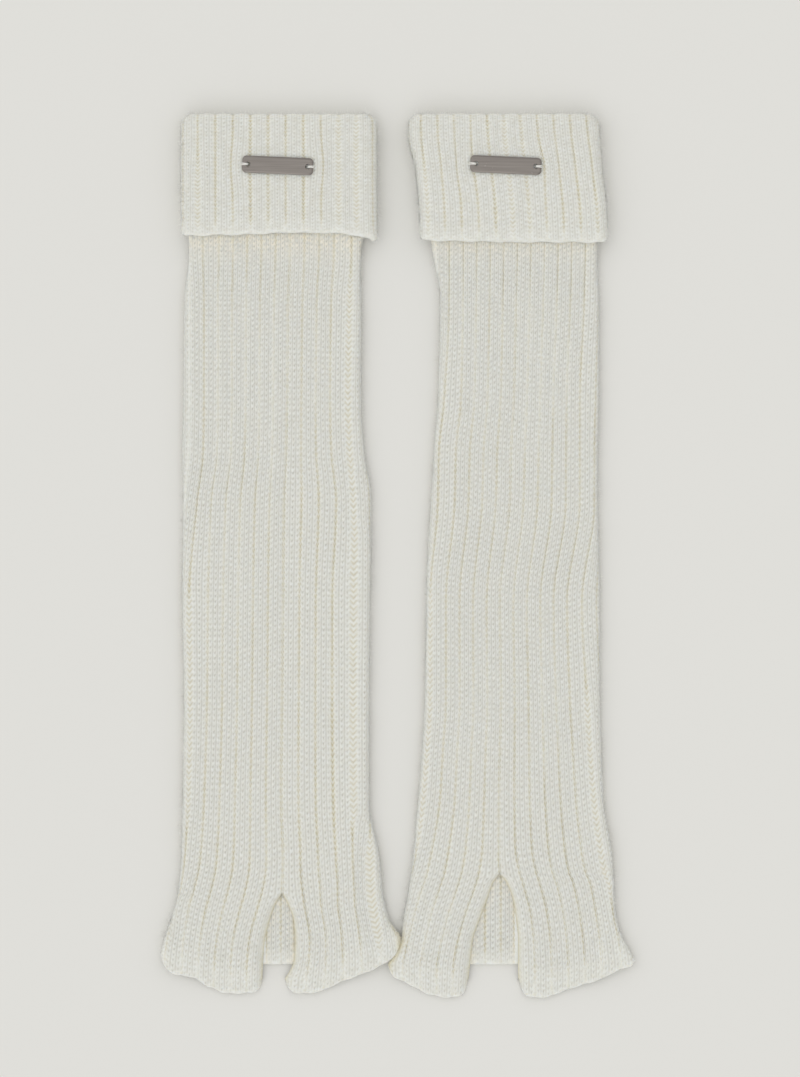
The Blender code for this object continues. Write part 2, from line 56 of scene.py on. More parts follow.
camera_data = bpy.data.cameras.new("camera")
camera_data.sensor_width = SENSOR
camera_data.lens = SENSOR * (VIEW_DISTANCE - VIEW_PLANE) / VIEW_HEIGHT
camera = bpy.data.objects.new("camera", camera_data)
camera.location = (VIEW_MIDDLE[0] * MM, VIEW_MIDDLE[1] * MM, VIEW_DISTANCE * MM)
bpy.context.scene.collection.objects.link(camera)
bpy.context.scene.camera = camera


# ---------------------------------------------------------------------------------------------
# Fronts of the legs. Each is the upper half of a tube knitted in one piece on a rib machine:
# three knit wales to one purl wale, in a thick soft yarn. Its sides fold under to meet the
# back, and its hem is parted in the middle by a slit.
WALL = 2.6
GAP = 0.3
LAYER = WALL + GAP
FOLD_GAP = 0.015
FOLD_MIDDLE = WALL + GAP / 2.0
FOLD_RADIUS = FOLD_MIDDLE - FOLD_GAP
BACK_CUFF_HEM = 168.0
RISE_LENGTH = 20.0
LEG_TOP = 226.95
BACK_HEM = -212.7
RIM = 0.8
OVERHANG = 13.0

# The knit: a pitch is one purl wale and the three knit wales after it, drawn in 16 steps.
# Step 0 is the middle of the purl wale, 2 and 14 are the sides of the rib, and 4, 8 and 12
# are the middles of its knit wales.
STEPS = 16
PURL_SHARE = 0.048
GROOVE_DEPTH = 0.98
GROOVE_STEPS = (0.0, 1.0, 2.0, 3.0, 4.0)
GROOVE_SHAPE = (1.0, 0.88, 0.4, 0.05, 0.0)
RIB_CROWN = 0.18
WALE_VALLEY = 0.44
LOOP_MIDDLE = 0.16
LOOP_HOLE = 0.5
SIDE_HOLE = 0.75
LOOP_GAP = 0.12
PURL_BAR = 0.26
LOOSENESS = 0.06
CLOSING_SHIFT = 16.0
CLOSING_EASE = 36.0
PURL_FLUSH = 0.62
LOOP_SLANT = 0.3
STITCH_WIDTH = 0.35
LEG_COURSE = 2.95
TIGHT_COURSE = 2.55
TIGHTENS_AT = 90.0
TIGHTENS_OVER = 50.0
HEM_BAND = 17.0
HEM_LEVEL = -220.0
HEM_REACH = 130.0
CORNER_REACH = 24.0
CORNER_WIDTH = 7.0
RIM_ANGLES = (90.0, 62.0, 32.0)
SLIT_ROLL = 2.2
SLIT_SLOPE = 5.0
SLIT_DROP = 2.4
CURL = 0.85
CURL_REACH = 4.0
SLIT_OPENING = 3.0
ROLL_OPENING = 1.5
SLIT_STEPS = (12.0, 13.0, 14.0, 15.0, 15.6)
SLIT_ANGLES = (12.0, 32.0, 52.0, 72.0, 90.0)
CALM_REACH = (-12.0, -6.0, 0.0, 6.0, 12.0)
SETTLING = 11
COLUMN_STEP = 0.02
UNDER_CUFF = 4.0
HIDDEN_STEP = 10.0
HEM_SCALLOP = 0.3
WANDER_STEP = 19.0
WANDER_KNOTS = 64
WANDER_START = -260.0
SPREAD_EASE = 20.0

# How open the purl wales lie, and how their depth, bars and painted shade grow between the loops.
OPEN_LEAST, OPEN_MORE, OPEN_GAIN = 0.72, 0.28, 1.4
DIP_LEAST, DIP_MORE = 0.8, 0.4
BAR_LEAST, BAR_MORE = 0.3, 0.7
BEAD_LEAST, BEAD_MORE = 0.6, 0.7
RELIEF_LEAST = 0.6
TONE_POWER = 0.9
SPREAD_TONE = 0.5
WIDE_PURL = 0.09
BAND_LEAST = 0.3
HEM_FADE = 2.5
SLIT_CALM = 0.2
ROLL_POWER = 1.7

# The lining has few rows and columns, and keeps a little inside the wall's edges.
SLIT_ROWS = 14
LINING_ROWS = 28
LINING_COLUMNS = 7
LINING_INSET = 0.15
OPENED_INSET = 0.3
LINING_RAISE = 0.3
LINING_STARTS = (0.3, 4.0)
LINING_STEP = 9.0

# Loose fibres for each millimetre round the piece. None starts under the cuff.
FRONT_FIBRES = 1.8
FIBRE_TOP = BACK_CUFF_HEM - 5.0
FRONT_SEEDS = {"left": 11, "right": 12}

# The legs touch at one place on their hems, where each front is pressed a little into the other.
# The shade there, along the slit's edges and close under the cuff is painted tan into the knit's colour.
TOUCHING = (-1.5, -206.0)
TOUCH_REACH = 12.0
TOUCH_PRESS = 0.75
TOUCH_SHADE = 0.8
TOUCH_SHADE_REACH = 2.0
SLIT_SHADE = 0.85
SLIT_SHADE_FALL = 3.0
CUFF_SHADE = 9.0

# Patterns in the yarn: a slow change of colour, its tufts, and its fibres. Real fibres are about
# a fortieth of a millimetre thick, so they are drawn coarser here, to show at all.
CLOUD_SIZE = 14.0
TUFT_SIZE = 1.7
FIBRE_SIZE = 0.5

Section = namedtuple("Section", "y left groove_1 groove_2 slit_left slit_right groove_late groove_last right")
Hem = namedtuple("Hem", "x y")
CuffSection = namedtuple("CuffSection", "y left first last right")
Lift = namedtuple("Lift", "x y rise reach")
Spread = namedtuple("Spread", "groove low high share")
Closing = namedtuple("Closing", "first last low high share")
Crease = namedtuple("Crease", "x y along across turn depth")
Leg = namedtuple("Leg", "name sections slit_groove late_groove grooves slit_top hem_left hem_right "
                        "hem_back lifts creases back_creases spreads closings window cuff cuff_grooves "
                        "cuff_spreads cuff_hem plate")

def rows_of(kind, *table):
    """A table whose rows are all of one kind."""
    return tuple(kind(*row) for row in table)


LEFT = Leg(
    name="left",
    sections=rows_of(Section,
        (226.0, -108.7, -101.4, -93.1, -56.2, -56.2, -33.3, -16.6, -15.0),
        (176.0, -108.9, -101.4, -93.1, -56.2, -56.2, -33.3, -16.6, -15.4),
        (159.0, -108.7, -101.4, -93.1, -56.2, -56.2, -33.3, -16.6, -19.2),
        (133.0, -111.3, -100.9, -93.6, -57.2, -57.2, -34.8, -17.2, -19.2),
        (81.0, -111.8, -100.9, -93.6, -57.7, -57.7, -35.4, -18.2, -19.2),
        (55.0, -112.3, -101.4, -94.1, -58.2, -58.2, -34.8, -17.2, -17.7),
        (29.0, -111.8, -104.5, -97.2, -59.3, -59.3, -32.2, -14.6, -14.0),
        (-23.0, -112.3, -108.7, -98.8, -59.8, -59.8, -34.3, -13.5, -14.6),
        (-75.0, -111.3, -108.2, -99.3, -60.3, -60.3, -34.3, -14.0, -15.1),
        (-127.0, -112.3, -109.2, -100.9, -60.8, -60.8, -33.8, -14.0, -15.1),
        (-158.0, -112.8, -111.3, -103.0, -59.8, -59.8, -32.2, -14.6, -9.4),
        (-175.0, -114.4, -113.9, -106.6, -60.3, -60.3, -31.2, -14.0, -7.8),
        (-180.5, -115.4, -116.0, -108.2, -63.4, -57.7, -31.2, -13.5, -6.8),
        (-189.0, -118.0, -118.1, -109.8, -66.6, -54.6, -30.2, -12.0, -4.7),
        (-199.5, -121.7, -120.1, -111.3, -69.2, -53.6, -29.1, -10.4, 1.3),
        (-210.0, -123.8, -121.7, -112.3, -70.2, -54.2, -28.6, -9.4, 1.5),
        (-214.0, -123.8, -122.0, -112.5, -70.4, -55.4, -28.6, -9.4, 1.5),
        (-220.0, -123.8, -122.0, -112.8, -70.6, -58.9, -28.8, -9.4, 1.5),
    ),
    slit_groove=7, late_groove=10, grooves=12, slit_top=-175.0,
    hem_left=rows_of(Hem, (-123.8, -207.5), (-121.2, -214.2), (-113.4, -218.4), (-108.2, -218.9),
                     (-97.8, -224.6), (-87.4, -227.8), (-79.0, -227.6), (-74.5, -226.8), (-71.8, -224.6),
                     (-70.6, -220.5)),
    hem_right=rows_of(Hem, (-58.9, -220.5), (-57.6, -224.4), (-54.5, -226.9), (-50.0, -227.8),
                      (-40.6, -226.7), (-32.8, -223.1), (-22.4, -218.9), (-12.0, -214.6), (-5.4, -210.6),
                      (0.4, -204.2), (1.3, -199.7)),
    hem_back=rows_of(Hem, (-123.8, -207.5), (-121.5, -211.0), (-117.0, -212.7), (-9.0, -212.7),
                     (-5.4, -210.6), (0.4, -204.2), (1.3, -199.7)),
    lifts=rows_of(Lift, (-73.0, -212.0, 2.0, 13.0), (-50.0, -212.0, 1.5, 12.0), (-104.0, -214.0, 0.9, 9.0),
                  (-22.0, -208.0, 1.0, 10.0)),
    creases=rows_of(Crease, (-66.0, 96.0, 34.0, 12.0, 8.0, 0.45), (-40.0, 22.0, 26.0, 10.0, -14.0, 0.4),
                    (-92.0, 4.0, 30.0, 13.0, 70.0, 0.5), (-72.0, -62.0, 36.0, 11.0, 12.0, -0.35),
                    (-34.0, -96.0, 40.0, 9.0, 82.0, 0.45), (-98.0, -130.0, 24.0, 12.0, -10.0, 0.4),
                    (-60.0, -150.0, 28.0, 8.0, 90.0, -0.4), (-88.0, 142.0, 20.0, 9.0, 0.0, 0.5),
                    (-38.0, 144.0, 22.0, 8.0, 5.0, 0.45)),
    back_creases=rows_of(Crease, (-62.0, 110.0, 38.0, 10.0, 6.0, 0.6), (-84.0, 30.0, 30.0, 9.0, -16.0, 0.5),
                         (-44.0, -40.0, 34.0, 12.0, 75.0, 0.7), (-78.0, -110.0, 40.0, 10.0, 10.0, 0.55),
                         (-50.0, -170.0, 26.0, 9.0, -8.0, 0.5)),
    spreads=rows_of(Spread, (11, -150.0, 155.0, 0.11), (1, -150.0, -10.0, 0.1), (12, -212.0, -140.0, 0.22),
                    (10, -165.0, -40.0, 0.03)),
    closings=rows_of(Closing, (-1, 0, -30.0, 260.0, 0.9), (2, 6, 35.0, 150.0, 0.5),
                     (1, 12, 128.0, 210.0, 0.1), (7, 7, 70.0, 140.0, 0.3), (9, 10, 60.0, 140.0, 0.4),
                     (2, 4, -70.0, 35.0, 0.35), (5, 6, 10.0, 40.0, 0.3), (10, 11, -100.0, -20.0, 0.3),
                     (1, 5, -225.0, -175.0, 0.6), (8, 12, -230.0, -178.0, 0.6)),
    window=(-68.6, -61.0, -54.2, -46.8),
    cuff=rows_of(CuffSection,
        (230.0, -112.8, -104.0, -21.8, -10.9),
        (200.0, -113.0, -104.0, -21.8, -10.9),
        (162.0, -112.6, -104.0, -21.4, -10.6),
    ),
    cuff_grooves=10,
    cuff_spreads=rows_of(Spread, (1, 150.0, 215.0, 0.1), (4, 150.0, 240.0, 0.04), (5, 150.0, 240.0, 0.05),
                         (7, 150.0, 240.0, 0.03), (9, 150.0, 240.0, 0.1), (10, 150.0, 240.0, 0.1)),
    cuff_hem=rows_of(Hem, (-113.0, 166.2), (-82.0, 166.9), (-51.0, 168.0), (-30.0, 167.4), (-17.2, 165.4),
                     (-10.6, 163.0)),
    plate=(-62.4, 202.7),
)

RIGHT = Leg(
    name="right",
    sections=rows_of(Section,
        (226.0, 12.0, 26.5, 33.8, 61.9, 61.9, 97.2, 104.5, 100.6),
        (205.0, 14.5, 26.5, 33.8, 61.9, 61.9, 97.2, 104.5, 101.8),
        (176.0, 15.5, 26.5, 33.8, 61.9, 61.9, 97.2, 104.5, 104.0),
        (159.0, 17.7, 26.5, 33.8, 61.9, 61.9, 97.2, 104.5, 103.5),
        (133.0, 21.8, 26.5, 33.8, 61.4, 61.4, 96.7, 104.5, 104.5),
        (81.0, 20.8, 23.9, 32.8, 60.3, 60.3, 94.6, 103.0, 104.5),
        (55.0, 18.7, 21.3, 30.2, 58.8, 58.8, 94.6, 102.4, 104.0),
        (29.0, 17.2, 20.8, 29.6, 58.2, 58.2, 94.6, 102.4, 104.0),
        (-23.0, 14.6, 16.6, 25.0, 53.0, 53.0, 87.9, 95.7, 105.0),
        (-75.0, 14.0, 16.6, 25.0, 53.6, 53.6, 89.4, 98.3, 105.0),
        (-101.0, 12.5, 15.1, 23.4, 53.0, 53.0, 91.0, 99.8, 106.1),
        (-127.0, 10.4, 13.0, 21.8, 52.5, 52.5, 92.6, 101.9, 107.1),
        (-158.0, 7.8, 8.3, 16.6, 52.5, 52.5, 96.2, 106.1, 111.8),
        (-165.0, 6.8, 6.8, 15.1, 53.0, 53.0, 97.8, 107.6, 112.1),
        (-169.5, 6.2, 5.2, 13.5, 49.9, 56.2, 99.8, 109.7, 112.3),
        (-179.0, 4.7, 3.6, 10.4, 46.3, 59.8, 101.9, 111.3, 112.8),
        (-189.0, 2.9, 0.5, 7.8, 42.6, 61.4, 103.5, 112.8, 113.9),
        (-199.5, 2.2, -2.1, 5.7, 39.0, 62.4, 105.0, 114.9, 117.5),
        (-207.0, -1.2, -4.1, 4.4, 38.0, 62.4, 105.6, 115.9, 121.4),
        (-213.5, -4.9, -6.8, 3.1, 37.4, 62.4, 106.1, 116.5, 124.1),
        (-221.0, -4.9, -6.8, 3.1, 36.6, 62.7, 106.1, 116.5, 124.1),
    ),
    slit_groove=6, late_groove=11, grooves=12, slit_top=-165.0,
    hem_left=rows_of(Hem, (-4.9, -213.6), (-3.1, -217.9), (6.2, -223.1), (16.6, -228.3), (27.0, -229.9),
                     (31.5, -229.1), (34.8, -226.6), (36.6, -221.0)),
    hem_right=rows_of(Hem, (62.7, -220.5), (64.0, -225.0), (67.0, -228.8), (71.5, -229.9), (76.4, -229.8),
                      (86.8, -226.2), (96.0, -223.2), (105.0, -220.5), (112.8, -216.3), (121.8, -212.9),
                      (124.1, -210.4)),
    hem_back=rows_of(Hem, (-4.9, -212.0), (0.0, -212.7), (118.0, -212.7), (122.0, -212.0), (124.1, -210.4)),
    lifts=rows_of(Lift, (34.0, -213.0, 2.2, 13.0), (67.0, -213.0, 1.9, 13.0), (8.0, -212.0, 1.0, 10.0),
                  (100.0, -214.0, 1.1, 10.0)),
    creases=rows_of(Crease, (60.0, 100.0, 30.0, 12.0, -6.0, 0.45), (38.0, 48.0, 26.0, 9.0, 16.0, 0.4),
                    (84.0, 12.0, 34.0, 11.0, 78.0, 0.45), (34.0, -34.0, 30.0, 12.0, -12.0, 0.5),
                    (70.0, -84.0, 38.0, 10.0, 10.0, -0.35), (96.0, -132.0, 30.0, 10.0, 74.0, 0.5),
                    (28.0, -128.0, 28.0, 12.0, 84.0, 0.4), (54.0, -140.0, 26.0, 8.0, 90.0, -0.4),
                    (40.0, 142.0, 22.0, 8.0, -4.0, 0.5), (86.0, 143.0, 20.0, 8.0, 3.0, 0.45)),
    back_creases=rows_of(Crease, (58.0, 104.0, 34.0, 11.0, -8.0, 0.6), (36.0, 18.0, 28.0, 9.0, 14.0, 0.5),
                         (74.0, -52.0, 36.0, 10.0, 80.0, 0.65), (44.0, -118.0, 38.0, 11.0, -10.0, 0.55),
                         (88.0, -172.0, 26.0, 9.0, 12.0, 0.5)),
    spreads=rows_of(Spread, (1, -165.0, -5.0, 0.1), (12, -190.0, -60.0, 0.1)),
    closings=rows_of(Closing, (-1, 0, -60.0, 260.0, 0.9), (1, 3, 70.0, 150.0, 0.45),
                     (1, 12, 118.0, 210.0, 0.2), (4, 5, 40.0, 130.0, 0.4), (7, 10, 45.0, 150.0, 0.5),
                     (3, 5, -120.0, -30.0, 0.4), (9, 10, -130.0, -20.0, 0.4), (1, 4, -225.0, -150.0, 0.5),
                     (7, 12, -230.0, -178.0, 0.6)),
    window=(38.0, 45.2, 53.6, 60.5),
    cuff=rows_of(CuffSection,
        (230.0, 5.2, 11.8, 97.6, 104.6),
        (219.0, 5.2, 12.0, 98.6, 105.1),
        (200.0, 9.2, 13.8, 101.0, 106.4),
        (180.0, 10.9, 15.3, 103.3, 108.6),
        (162.0, 11.5, 15.8, 104.2, 109.0),
    ),
    cuff_grooves=11,
    cuff_spreads=rows_of(Spread, (1, 150.0, 215.0, 0.08), (5, 150.0, 240.0, 0.04), (6, 150.0, 240.0, 0.09),
                         (7, 150.0, 240.0, 0.06), (10, 150.0, 200.0, 0.03), (11, 150.0, 200.0, 0.06)),
    cuff_hem=rows_of(Hem, (11.5, 163.8), (60.0, 163.1), (109.0, 162.8)),
    plate=(56.0, 202.9),
)


def linear(colour):
    """A hex sRGB colour as the linear values that shaders take."""
    channels = [int(colour[i:i + 2], 16) / 255.0 for i in (1, 3, 5)]
    return tuple(c / 12.92 if c <= 0.04045 else ((c + 0.055) / 1.055) ** 2.4 for c in channels) + (1.0,)


def feed(tree, node, links):
    """Gives a node's inputs their values, or links them to the outputs of other nodes."""
    for name, value in links.items():
        if isinstance(value, bpy.types.NodeSocket):
            tree.links.new(value, node.inputs[name])
        else:
            node.inputs[name].default_value = value


def add_node(tree, kind, settings=None, links=None):
    """A shader node, its settings, and the outputs or values that go into its inputs."""
    node = tree.nodes.new(kind)
    for name, value in (settings or {}).items():
        setattr(node, name, value)
    feed(tree, node, links or {})
    return node


def new_material(name):
    """A material with nodes, and its tree."""
    material = bpy.data.materials.new(name)
    material.use_nodes = True
    return material, material.node_tree


def add_piece(name, mesh, material):
    """An object for a finished mesh, shaded smooth and in one material."""
    mesh.materials.append(material)
    mesh.shade_smooth()
    piece = bpy.data.objects.new(name, mesh)
    bpy.context.scene.collection.objects.link(piece)
    return piece


def smooth_between(knots, values, at):
    """A cubic through (knot, value) pairs that never overshoots them. The knots rise."""
    knots = np.asarray(knots, float)
    values = np.asarray(values, float)
    at = np.clip(at, knots[0], knots[-1])
    steps = np.diff(values) / np.diff(knots)
    slopes = np.concatenate((steps[:1], np.zeros(len(steps) - 1), steps[-1:]))
    before, after = steps[:-1], steps[1:]
    same_way = before * after > 0.0
    slopes[1:-1] = np.where(same_way, 2.0 * before * after / np.where(same_way, before + after, 1.0), 0.0)
    i = np.clip(np.searchsorted(knots, at) - 1, 0, len(steps) - 1)
    width = knots[i + 1] - knots[i]
    t = (at - knots[i]) / width
    rise = values[i + 1] - values[i]
    bend_in = slopes[i] * width
    bend_out = slopes[i + 1] * width
    return (values[i] + bend_in * t + (3.0 * rise - 2.0 * bend_in - bend_out) * t * t
            + (bend_in + bend_out - 2.0 * rise) * t ** 3)


def measure(table, part, y):
    """One measure of a table of sections, at heights y."""
    rows = sorted(table)
    return smooth_between([row.y for row in rows], [getattr(row, part) for row in rows], y)


def steady(table, part, y):
    """A measure averaged over a few centimetres, so that ribs bend gently where it turns sharply."""
    return sum(measure(table, part, y + away) for away in CALM_REACH) / len(CALM_REACH)


def hem_at(points, x):
    """How low a hem reaches at x."""
    points = sorted(points)
    return smooth_between([point.x for point in points], [point.y for point in points], x)


def ease(value):
    """From 0 to 1, level at both ends."""
    t = np.clip(value, 0.0, 1.0)
    return t * t * (3.0 - 2.0 * t)


def rise_onto_cuff(y):
    """The leg climbs by one layer onto the back of the turned-down cuff."""
    return LAYER * ease((y - BACK_CUFF_HEM + RISE_LENGTH) / (RISE_LENGTH - GAP))


def front_floor(leg, x, y):
    """Where the front's underside is: on the back, raised in places, and low past the back's hem."""
    floor = LAYER + rise_onto_cuff(y)
    from_slit = np.minimum(np.abs(x - measure(leg.sections, "slit_left", y)),
                           np.abs(x - measure(leg.sections, "slit_right", y)))
    curled = 1.0 - CURL * np.exp(-(from_slit / CURL_REACH) ** 2)
    for lift in leg.lifts:
        away = np.hypot(x - lift.x, y - lift.y) / lift.reach
        floor = floor + lift.rise * np.exp(-away * away) * curled
    floor = floor - (GAP - FOLD_GAP) * np.exp(-(from_slit / 2.0) ** 2)
    return floor - (LAYER - 2.0 * GAP) * ease((BACK_HEM - RIM - y) / OVERHANG)


def crease_depth(creases, x, y):
    """How deep the soft troughs of the cloth are at a place. A ridge has a depth below nothing."""
    depth = 0.0 * x
    for crease in creases:
        turn = math.radians(crease.turn)
        along = (x - crease.x) * math.cos(turn) + (y - crease.y) * math.sin(turn)
        across = (y - crease.y) * math.cos(turn) - (x - crease.x) * math.sin(turn)
        depth = depth + crease.depth * np.exp(-(along / crease.along) ** 2 - (across / crease.across) ** 2)
    return depth


def wale_columns(grooves, steps):
    """The columns across a rib knit, from one side fold to the other: groove number and step."""
    columns = [(-1, step) for step in steps if step > 2.0]
    columns += [(rank, step) for rank in range(grooves + 1) for step in steps]
    columns += [(grooves + 1, step) for step in steps if step < STEPS - 2.0]
    return np.array(columns, float)


def step_share(step, before, after):
    """How far across its pitch a step lies, between purl wales of two half widths."""
    rib = before + (1.0 - before - after) * (step - 2.0) / (STEPS - 4.0)
    return np.where(step < 2.0, before * step / 2.0,
                    np.where(step > STEPS - 2.0, 1.0 - after * (STEPS - step) / 2.0, rib))


def fold_length(inward, radius):
    """The length round a side fold, from its middle line, to a place that lies inward of the edge."""
    angle = np.arccos(np.clip(1.0 - inward / radius, -1.0, 1.0))
    flat = inward - radius + radius * math.pi / 2.0
    return np.where(inward < 0.0, inward, np.where(inward < radius, radius * angle, flat))


def fold_place(length, radius):
    """The inward place, height and lean of the cloth at a length round a side fold."""
    angle = np.clip(length / radius, 0.0, math.pi / 2.0)
    past = np.maximum(length - radius * math.pi / 2.0, 0.0)
    return radius * (1.0 - np.cos(angle)) + past, radius * np.sin(angle), angle


def tube_place(left, right, length, reach, radius):
    """Where a length across a tube's half comes: x, height, lean, and which way is inward."""
    left_in, left_height, left_angle = fold_place(length, radius)
    right_in, right_height, right_angle = fold_place(reach - length, radius)
    on_left = length < reach / 2.0
    return (np.where(on_left, left + left_in, right - right_in), np.where(on_left, left_height, right_height),
            np.where(on_left, left_angle, right_angle), np.where(on_left, 1.0, -1.0))


def course_rows(start, end, rows, course_height):
    """Rows of points up the knit: their heights, and how far into its course each one is."""
    heights = [start]
    courses = [0.0]
    while heights[-1] < end:
        heights.append(heights[-1] + course_height(heights[-1]) / rows)
        courses.append(courses[-1] + 1.0 / rows)
    return np.array(heights), np.array(courses)


def leg_course(y):
    """How tall a course is on the leg: it was knitted tighter towards the cuff."""
    return LEG_COURSE + (TIGHT_COURSE - LEG_COURSE) * float(ease((y - TIGHTENS_AT) / TIGHTENS_OVER))


Tones = namedtuple("Tones", "groove stitch purl warmth")


def between_loops(course):
    """From 0 on a loop to 1 in the narrow gap between it and the loop of the next course."""
    return np.maximum(1.0 - 3.0 * np.abs(course - np.round(course)), 0.0)


def loop_slant(step):
    """How far along y each point is shifted, in courses, so that the loops of a wale form Vs."""
    from_middle = np.abs(np.mod(step - 4.0, 4.0) - 2.0)
    slant = np.where(from_middle > 1.5, -LOOP_SLANT, np.where(from_middle < 0.5, LOOP_SLANT, 0.0))
    slant = np.where(np.minimum(step, STEPS - step) < 1.5, 0.0, slant)
    return np.where(np.minimum(step, STEPS - step) < 0.5, -LOOP_SLANT, slant)


def loop_depth(step, course):
    """How deep each point of a rib's loops lies: at the middle of a V, between Vs and between wales."""
    gap = between_loops(course)
    from_middle = np.abs(np.mod(step - 4.0, 4.0) - 2.0)
    on_rib = np.abs(step - STEPS / 2) < 5.5
    middle = on_rib & (from_middle > 1.5)
    valley = on_rib & (from_middle < 0.5)
    crest = on_rib & ~middle & ~valley
    centre = np.where(np.abs(step - STEPS / 2) < 1.0, 1.0, SIDE_HOLE)
    deep = np.where(middle, LOOP_MIDDLE, 0.0) + np.where(valley, WALE_VALLEY, 0.0)
    return deep + gap * (np.where(middle, LOOP_HOLE * centre, 0.0) + np.where(crest, LOOP_GAP, 0.0))


def purl_half(spreads, groove, y):
    """Half the width of a purl wale, as a share of its pitch: it lies open in places."""
    half = np.full_like(y, PURL_SHARE)
    for spread in spreads:
        near = np.clip(1.0 - np.abs(groove - spread.groove), 0.0, 1.0)
        inside = ease((y - spread.low) / SPREAD_EASE) * ease((spread.high - y) / SPREAD_EASE)
        half = half + spread.share * near * inside
    return half


def groove_values(draw, grooves, y, nearest):
    """One wandering value for each groove, given to the columns nearest to it."""
    values = np.zeros_like(y)
    for groove in range(-1, grooves + 3):
        line = draw.uniform(0.0, 1.0, WANDER_KNOTS)
        columns = nearest == groove
        knots = WANDER_START + WANDER_STEP * np.arange(WANDER_KNOTS)
        values[:, columns] = smooth_between(knots, line, y[:, columns])
    return values


def purl_openness(draw, closings, grooves, y, nearest):
    """How open each purl wale lies, from 0 to 1: the ribs close over it in places."""
    openness = OPEN_LEAST + OPEN_MORE * ease(OPEN_GAIN * groove_values(draw, grooves, y, nearest))
    start, end = draw.uniform(-CLOSING_SHIFT, CLOSING_SHIFT, (2, int(nearest.max()) + 2))
    for closing in closings:
        among = (nearest >= closing.first) & (nearest <= closing.last)
        low = closing.low + start[nearest.astype(int) + 1]
        high = closing.high + end[nearest.astype(int) + 1]
        inside = ease((y - low) / CLOSING_EASE) * ease((high - y) / CLOSING_EASE)
        openness = openness * (1.0 - closing.share * among * inside)
    return openness


def knit_relief(draw, spreads, closings, grooves, groove, step, courses, y, length, band, fade):
    """How deep each point lies below its panel's own form, and its tones of painted shade in the groove,
    between the loops and in the open purl wales.

    The purl wales lie deep between the ribs. The ribs close over them here and there, and in
    other places a purl wale is drawn wide open, nearly flush with the ribs.
    """
    nearest = np.where(step <= STEPS / 2, groove, groove + 1)
    from_purl = np.minimum(step, STEPS - step)
    narrow = ease(np.gradient(length, axis=1) / STITCH_WIDTH)
    openness = purl_openness(draw, closings, grooves, y, nearest)
    spread = ease((purl_half(spreads, nearest[None, :], y) - PURL_SHARE) / WIDE_PURL)
    openness = openness + (1.0 - PURL_FLUSH - openness) * spread
    shape = np.interp(from_purl, GROOVE_STEPS, GROOVE_SHAPE)
    between = between_loops(courses)
    groove_depth = GROOVE_DEPTH * shape * openness * band * narrow * (DIP_LEAST + DIP_MORE * between)
    crown = RIB_CROWN * ((step - STEPS / 2) / 6.0) ** 2 * (np.abs(step - STEPS / 2) <= 6.0)
    wale = (4 * (groove + 1) + (step + 2) // 4).astype(int)
    stagger = draw.integers(0, 3, wale.max() + 1)[wale] / 3.0
    loops = loop_depth(step[None, :], courses + stagger)
    bars = between * (from_purl < 2.5)
    loops = loops + PURL_BAR * bars * (BAR_LEAST + BAR_MORE * spread)
    loose = draw.normal(0.0, LOOSENESS, length.shape)
    relief = groove_depth + (crown + (loops + loose) * fade * np.maximum(band, RELIEF_LEAST)) * narrow
    beads = BEAD_LEAST + BEAD_MORE * between
    # The groove tone is painted shade: darker and tan where the groove is deep, dotted by the courses.
    tone = (groove_depth / GROOVE_DEPTH) ** TONE_POWER * beads * (1.0 - SPREAD_TONE * spread)
    tone = np.clip(tone, 0.0, 1.0)
    # The stitch tone is painted shade in the holes and gaps of the loops, and the purl tone turns that shade
    # tan in the open purl wales.
    gap = np.clip(loops * narrow * fade / (LOOP_MIDDLE + LOOP_HOLE), 0.0, 1.0)
    purl = spread * np.interp(from_purl, (0.0, 1.0, 2.0, 3.0), (1.0, 1.0, 0.7, 0.0)) * band
    return np.maximum(relief, 0.0), Tones(tone, gap, purl, np.zeros_like(tone))


def grid_faces(index, cut):
    """The four-sided faces of a grid of points. cut is the row and column where a slit ends."""
    rows, columns = np.meshgrid(np.arange(index.shape[0] - 1), np.arange(index.shape[1] - 1), indexing="ij")
    keep = np.ones(rows.shape, bool)
    if cut:
        keep[:cut[0], cut[1]] = False
    rows, columns = rows[keep], columns[keep]
    return np.stack((index[rows, columns], index[rows, columns + 1],
                     index[rows + 1, columns + 1], index[rows + 1, columns]), axis=1)


def grid_edges(index, cut, side_end):
    """The edges of a grid of points, in order round it. side_end is the last row of its sides."""
    ring = [index[:side_end + 1, -1], index[-1, ::-1], index[side_end::-1, 0]]
    if not cut:
        return [index[0]] + ring
    row, column = cut
    return [index[0, :column + 1], index[:row + 1, column], index[row, column:column + 2],
            index[row::-1, column + 1], index[0, column + 1:]] + ring


def lace(points, outer, lining):
    """Triangles between the edge of a wall's outer face and the edge of its lining."""
    shares = []
    for edge in (outer, lining):
        steps = np.linalg.norm(np.diff(points[edge], axis=0), axis=1)
        lengths = np.concatenate(([0.0], np.cumsum(steps)))
        shares.append(lengths / lengths[-1])
    faces = []
    i = 0
    j = 0
    while i < len(outer) - 1 or j < len(lining) - 1:
        if j == len(lining) - 1 or (i < len(outer) - 1 and shares[0][i + 1] <= shares[1][j + 1]):
            faces.append((outer[i], outer[i + 1], lining[j]))
            i += 1
        else:
            faces.append((outer[i], lining[j + 1], lining[j]))
            j += 1
    return faces


Face = namedtuple("Face", "points tones cut side_end mirrored")


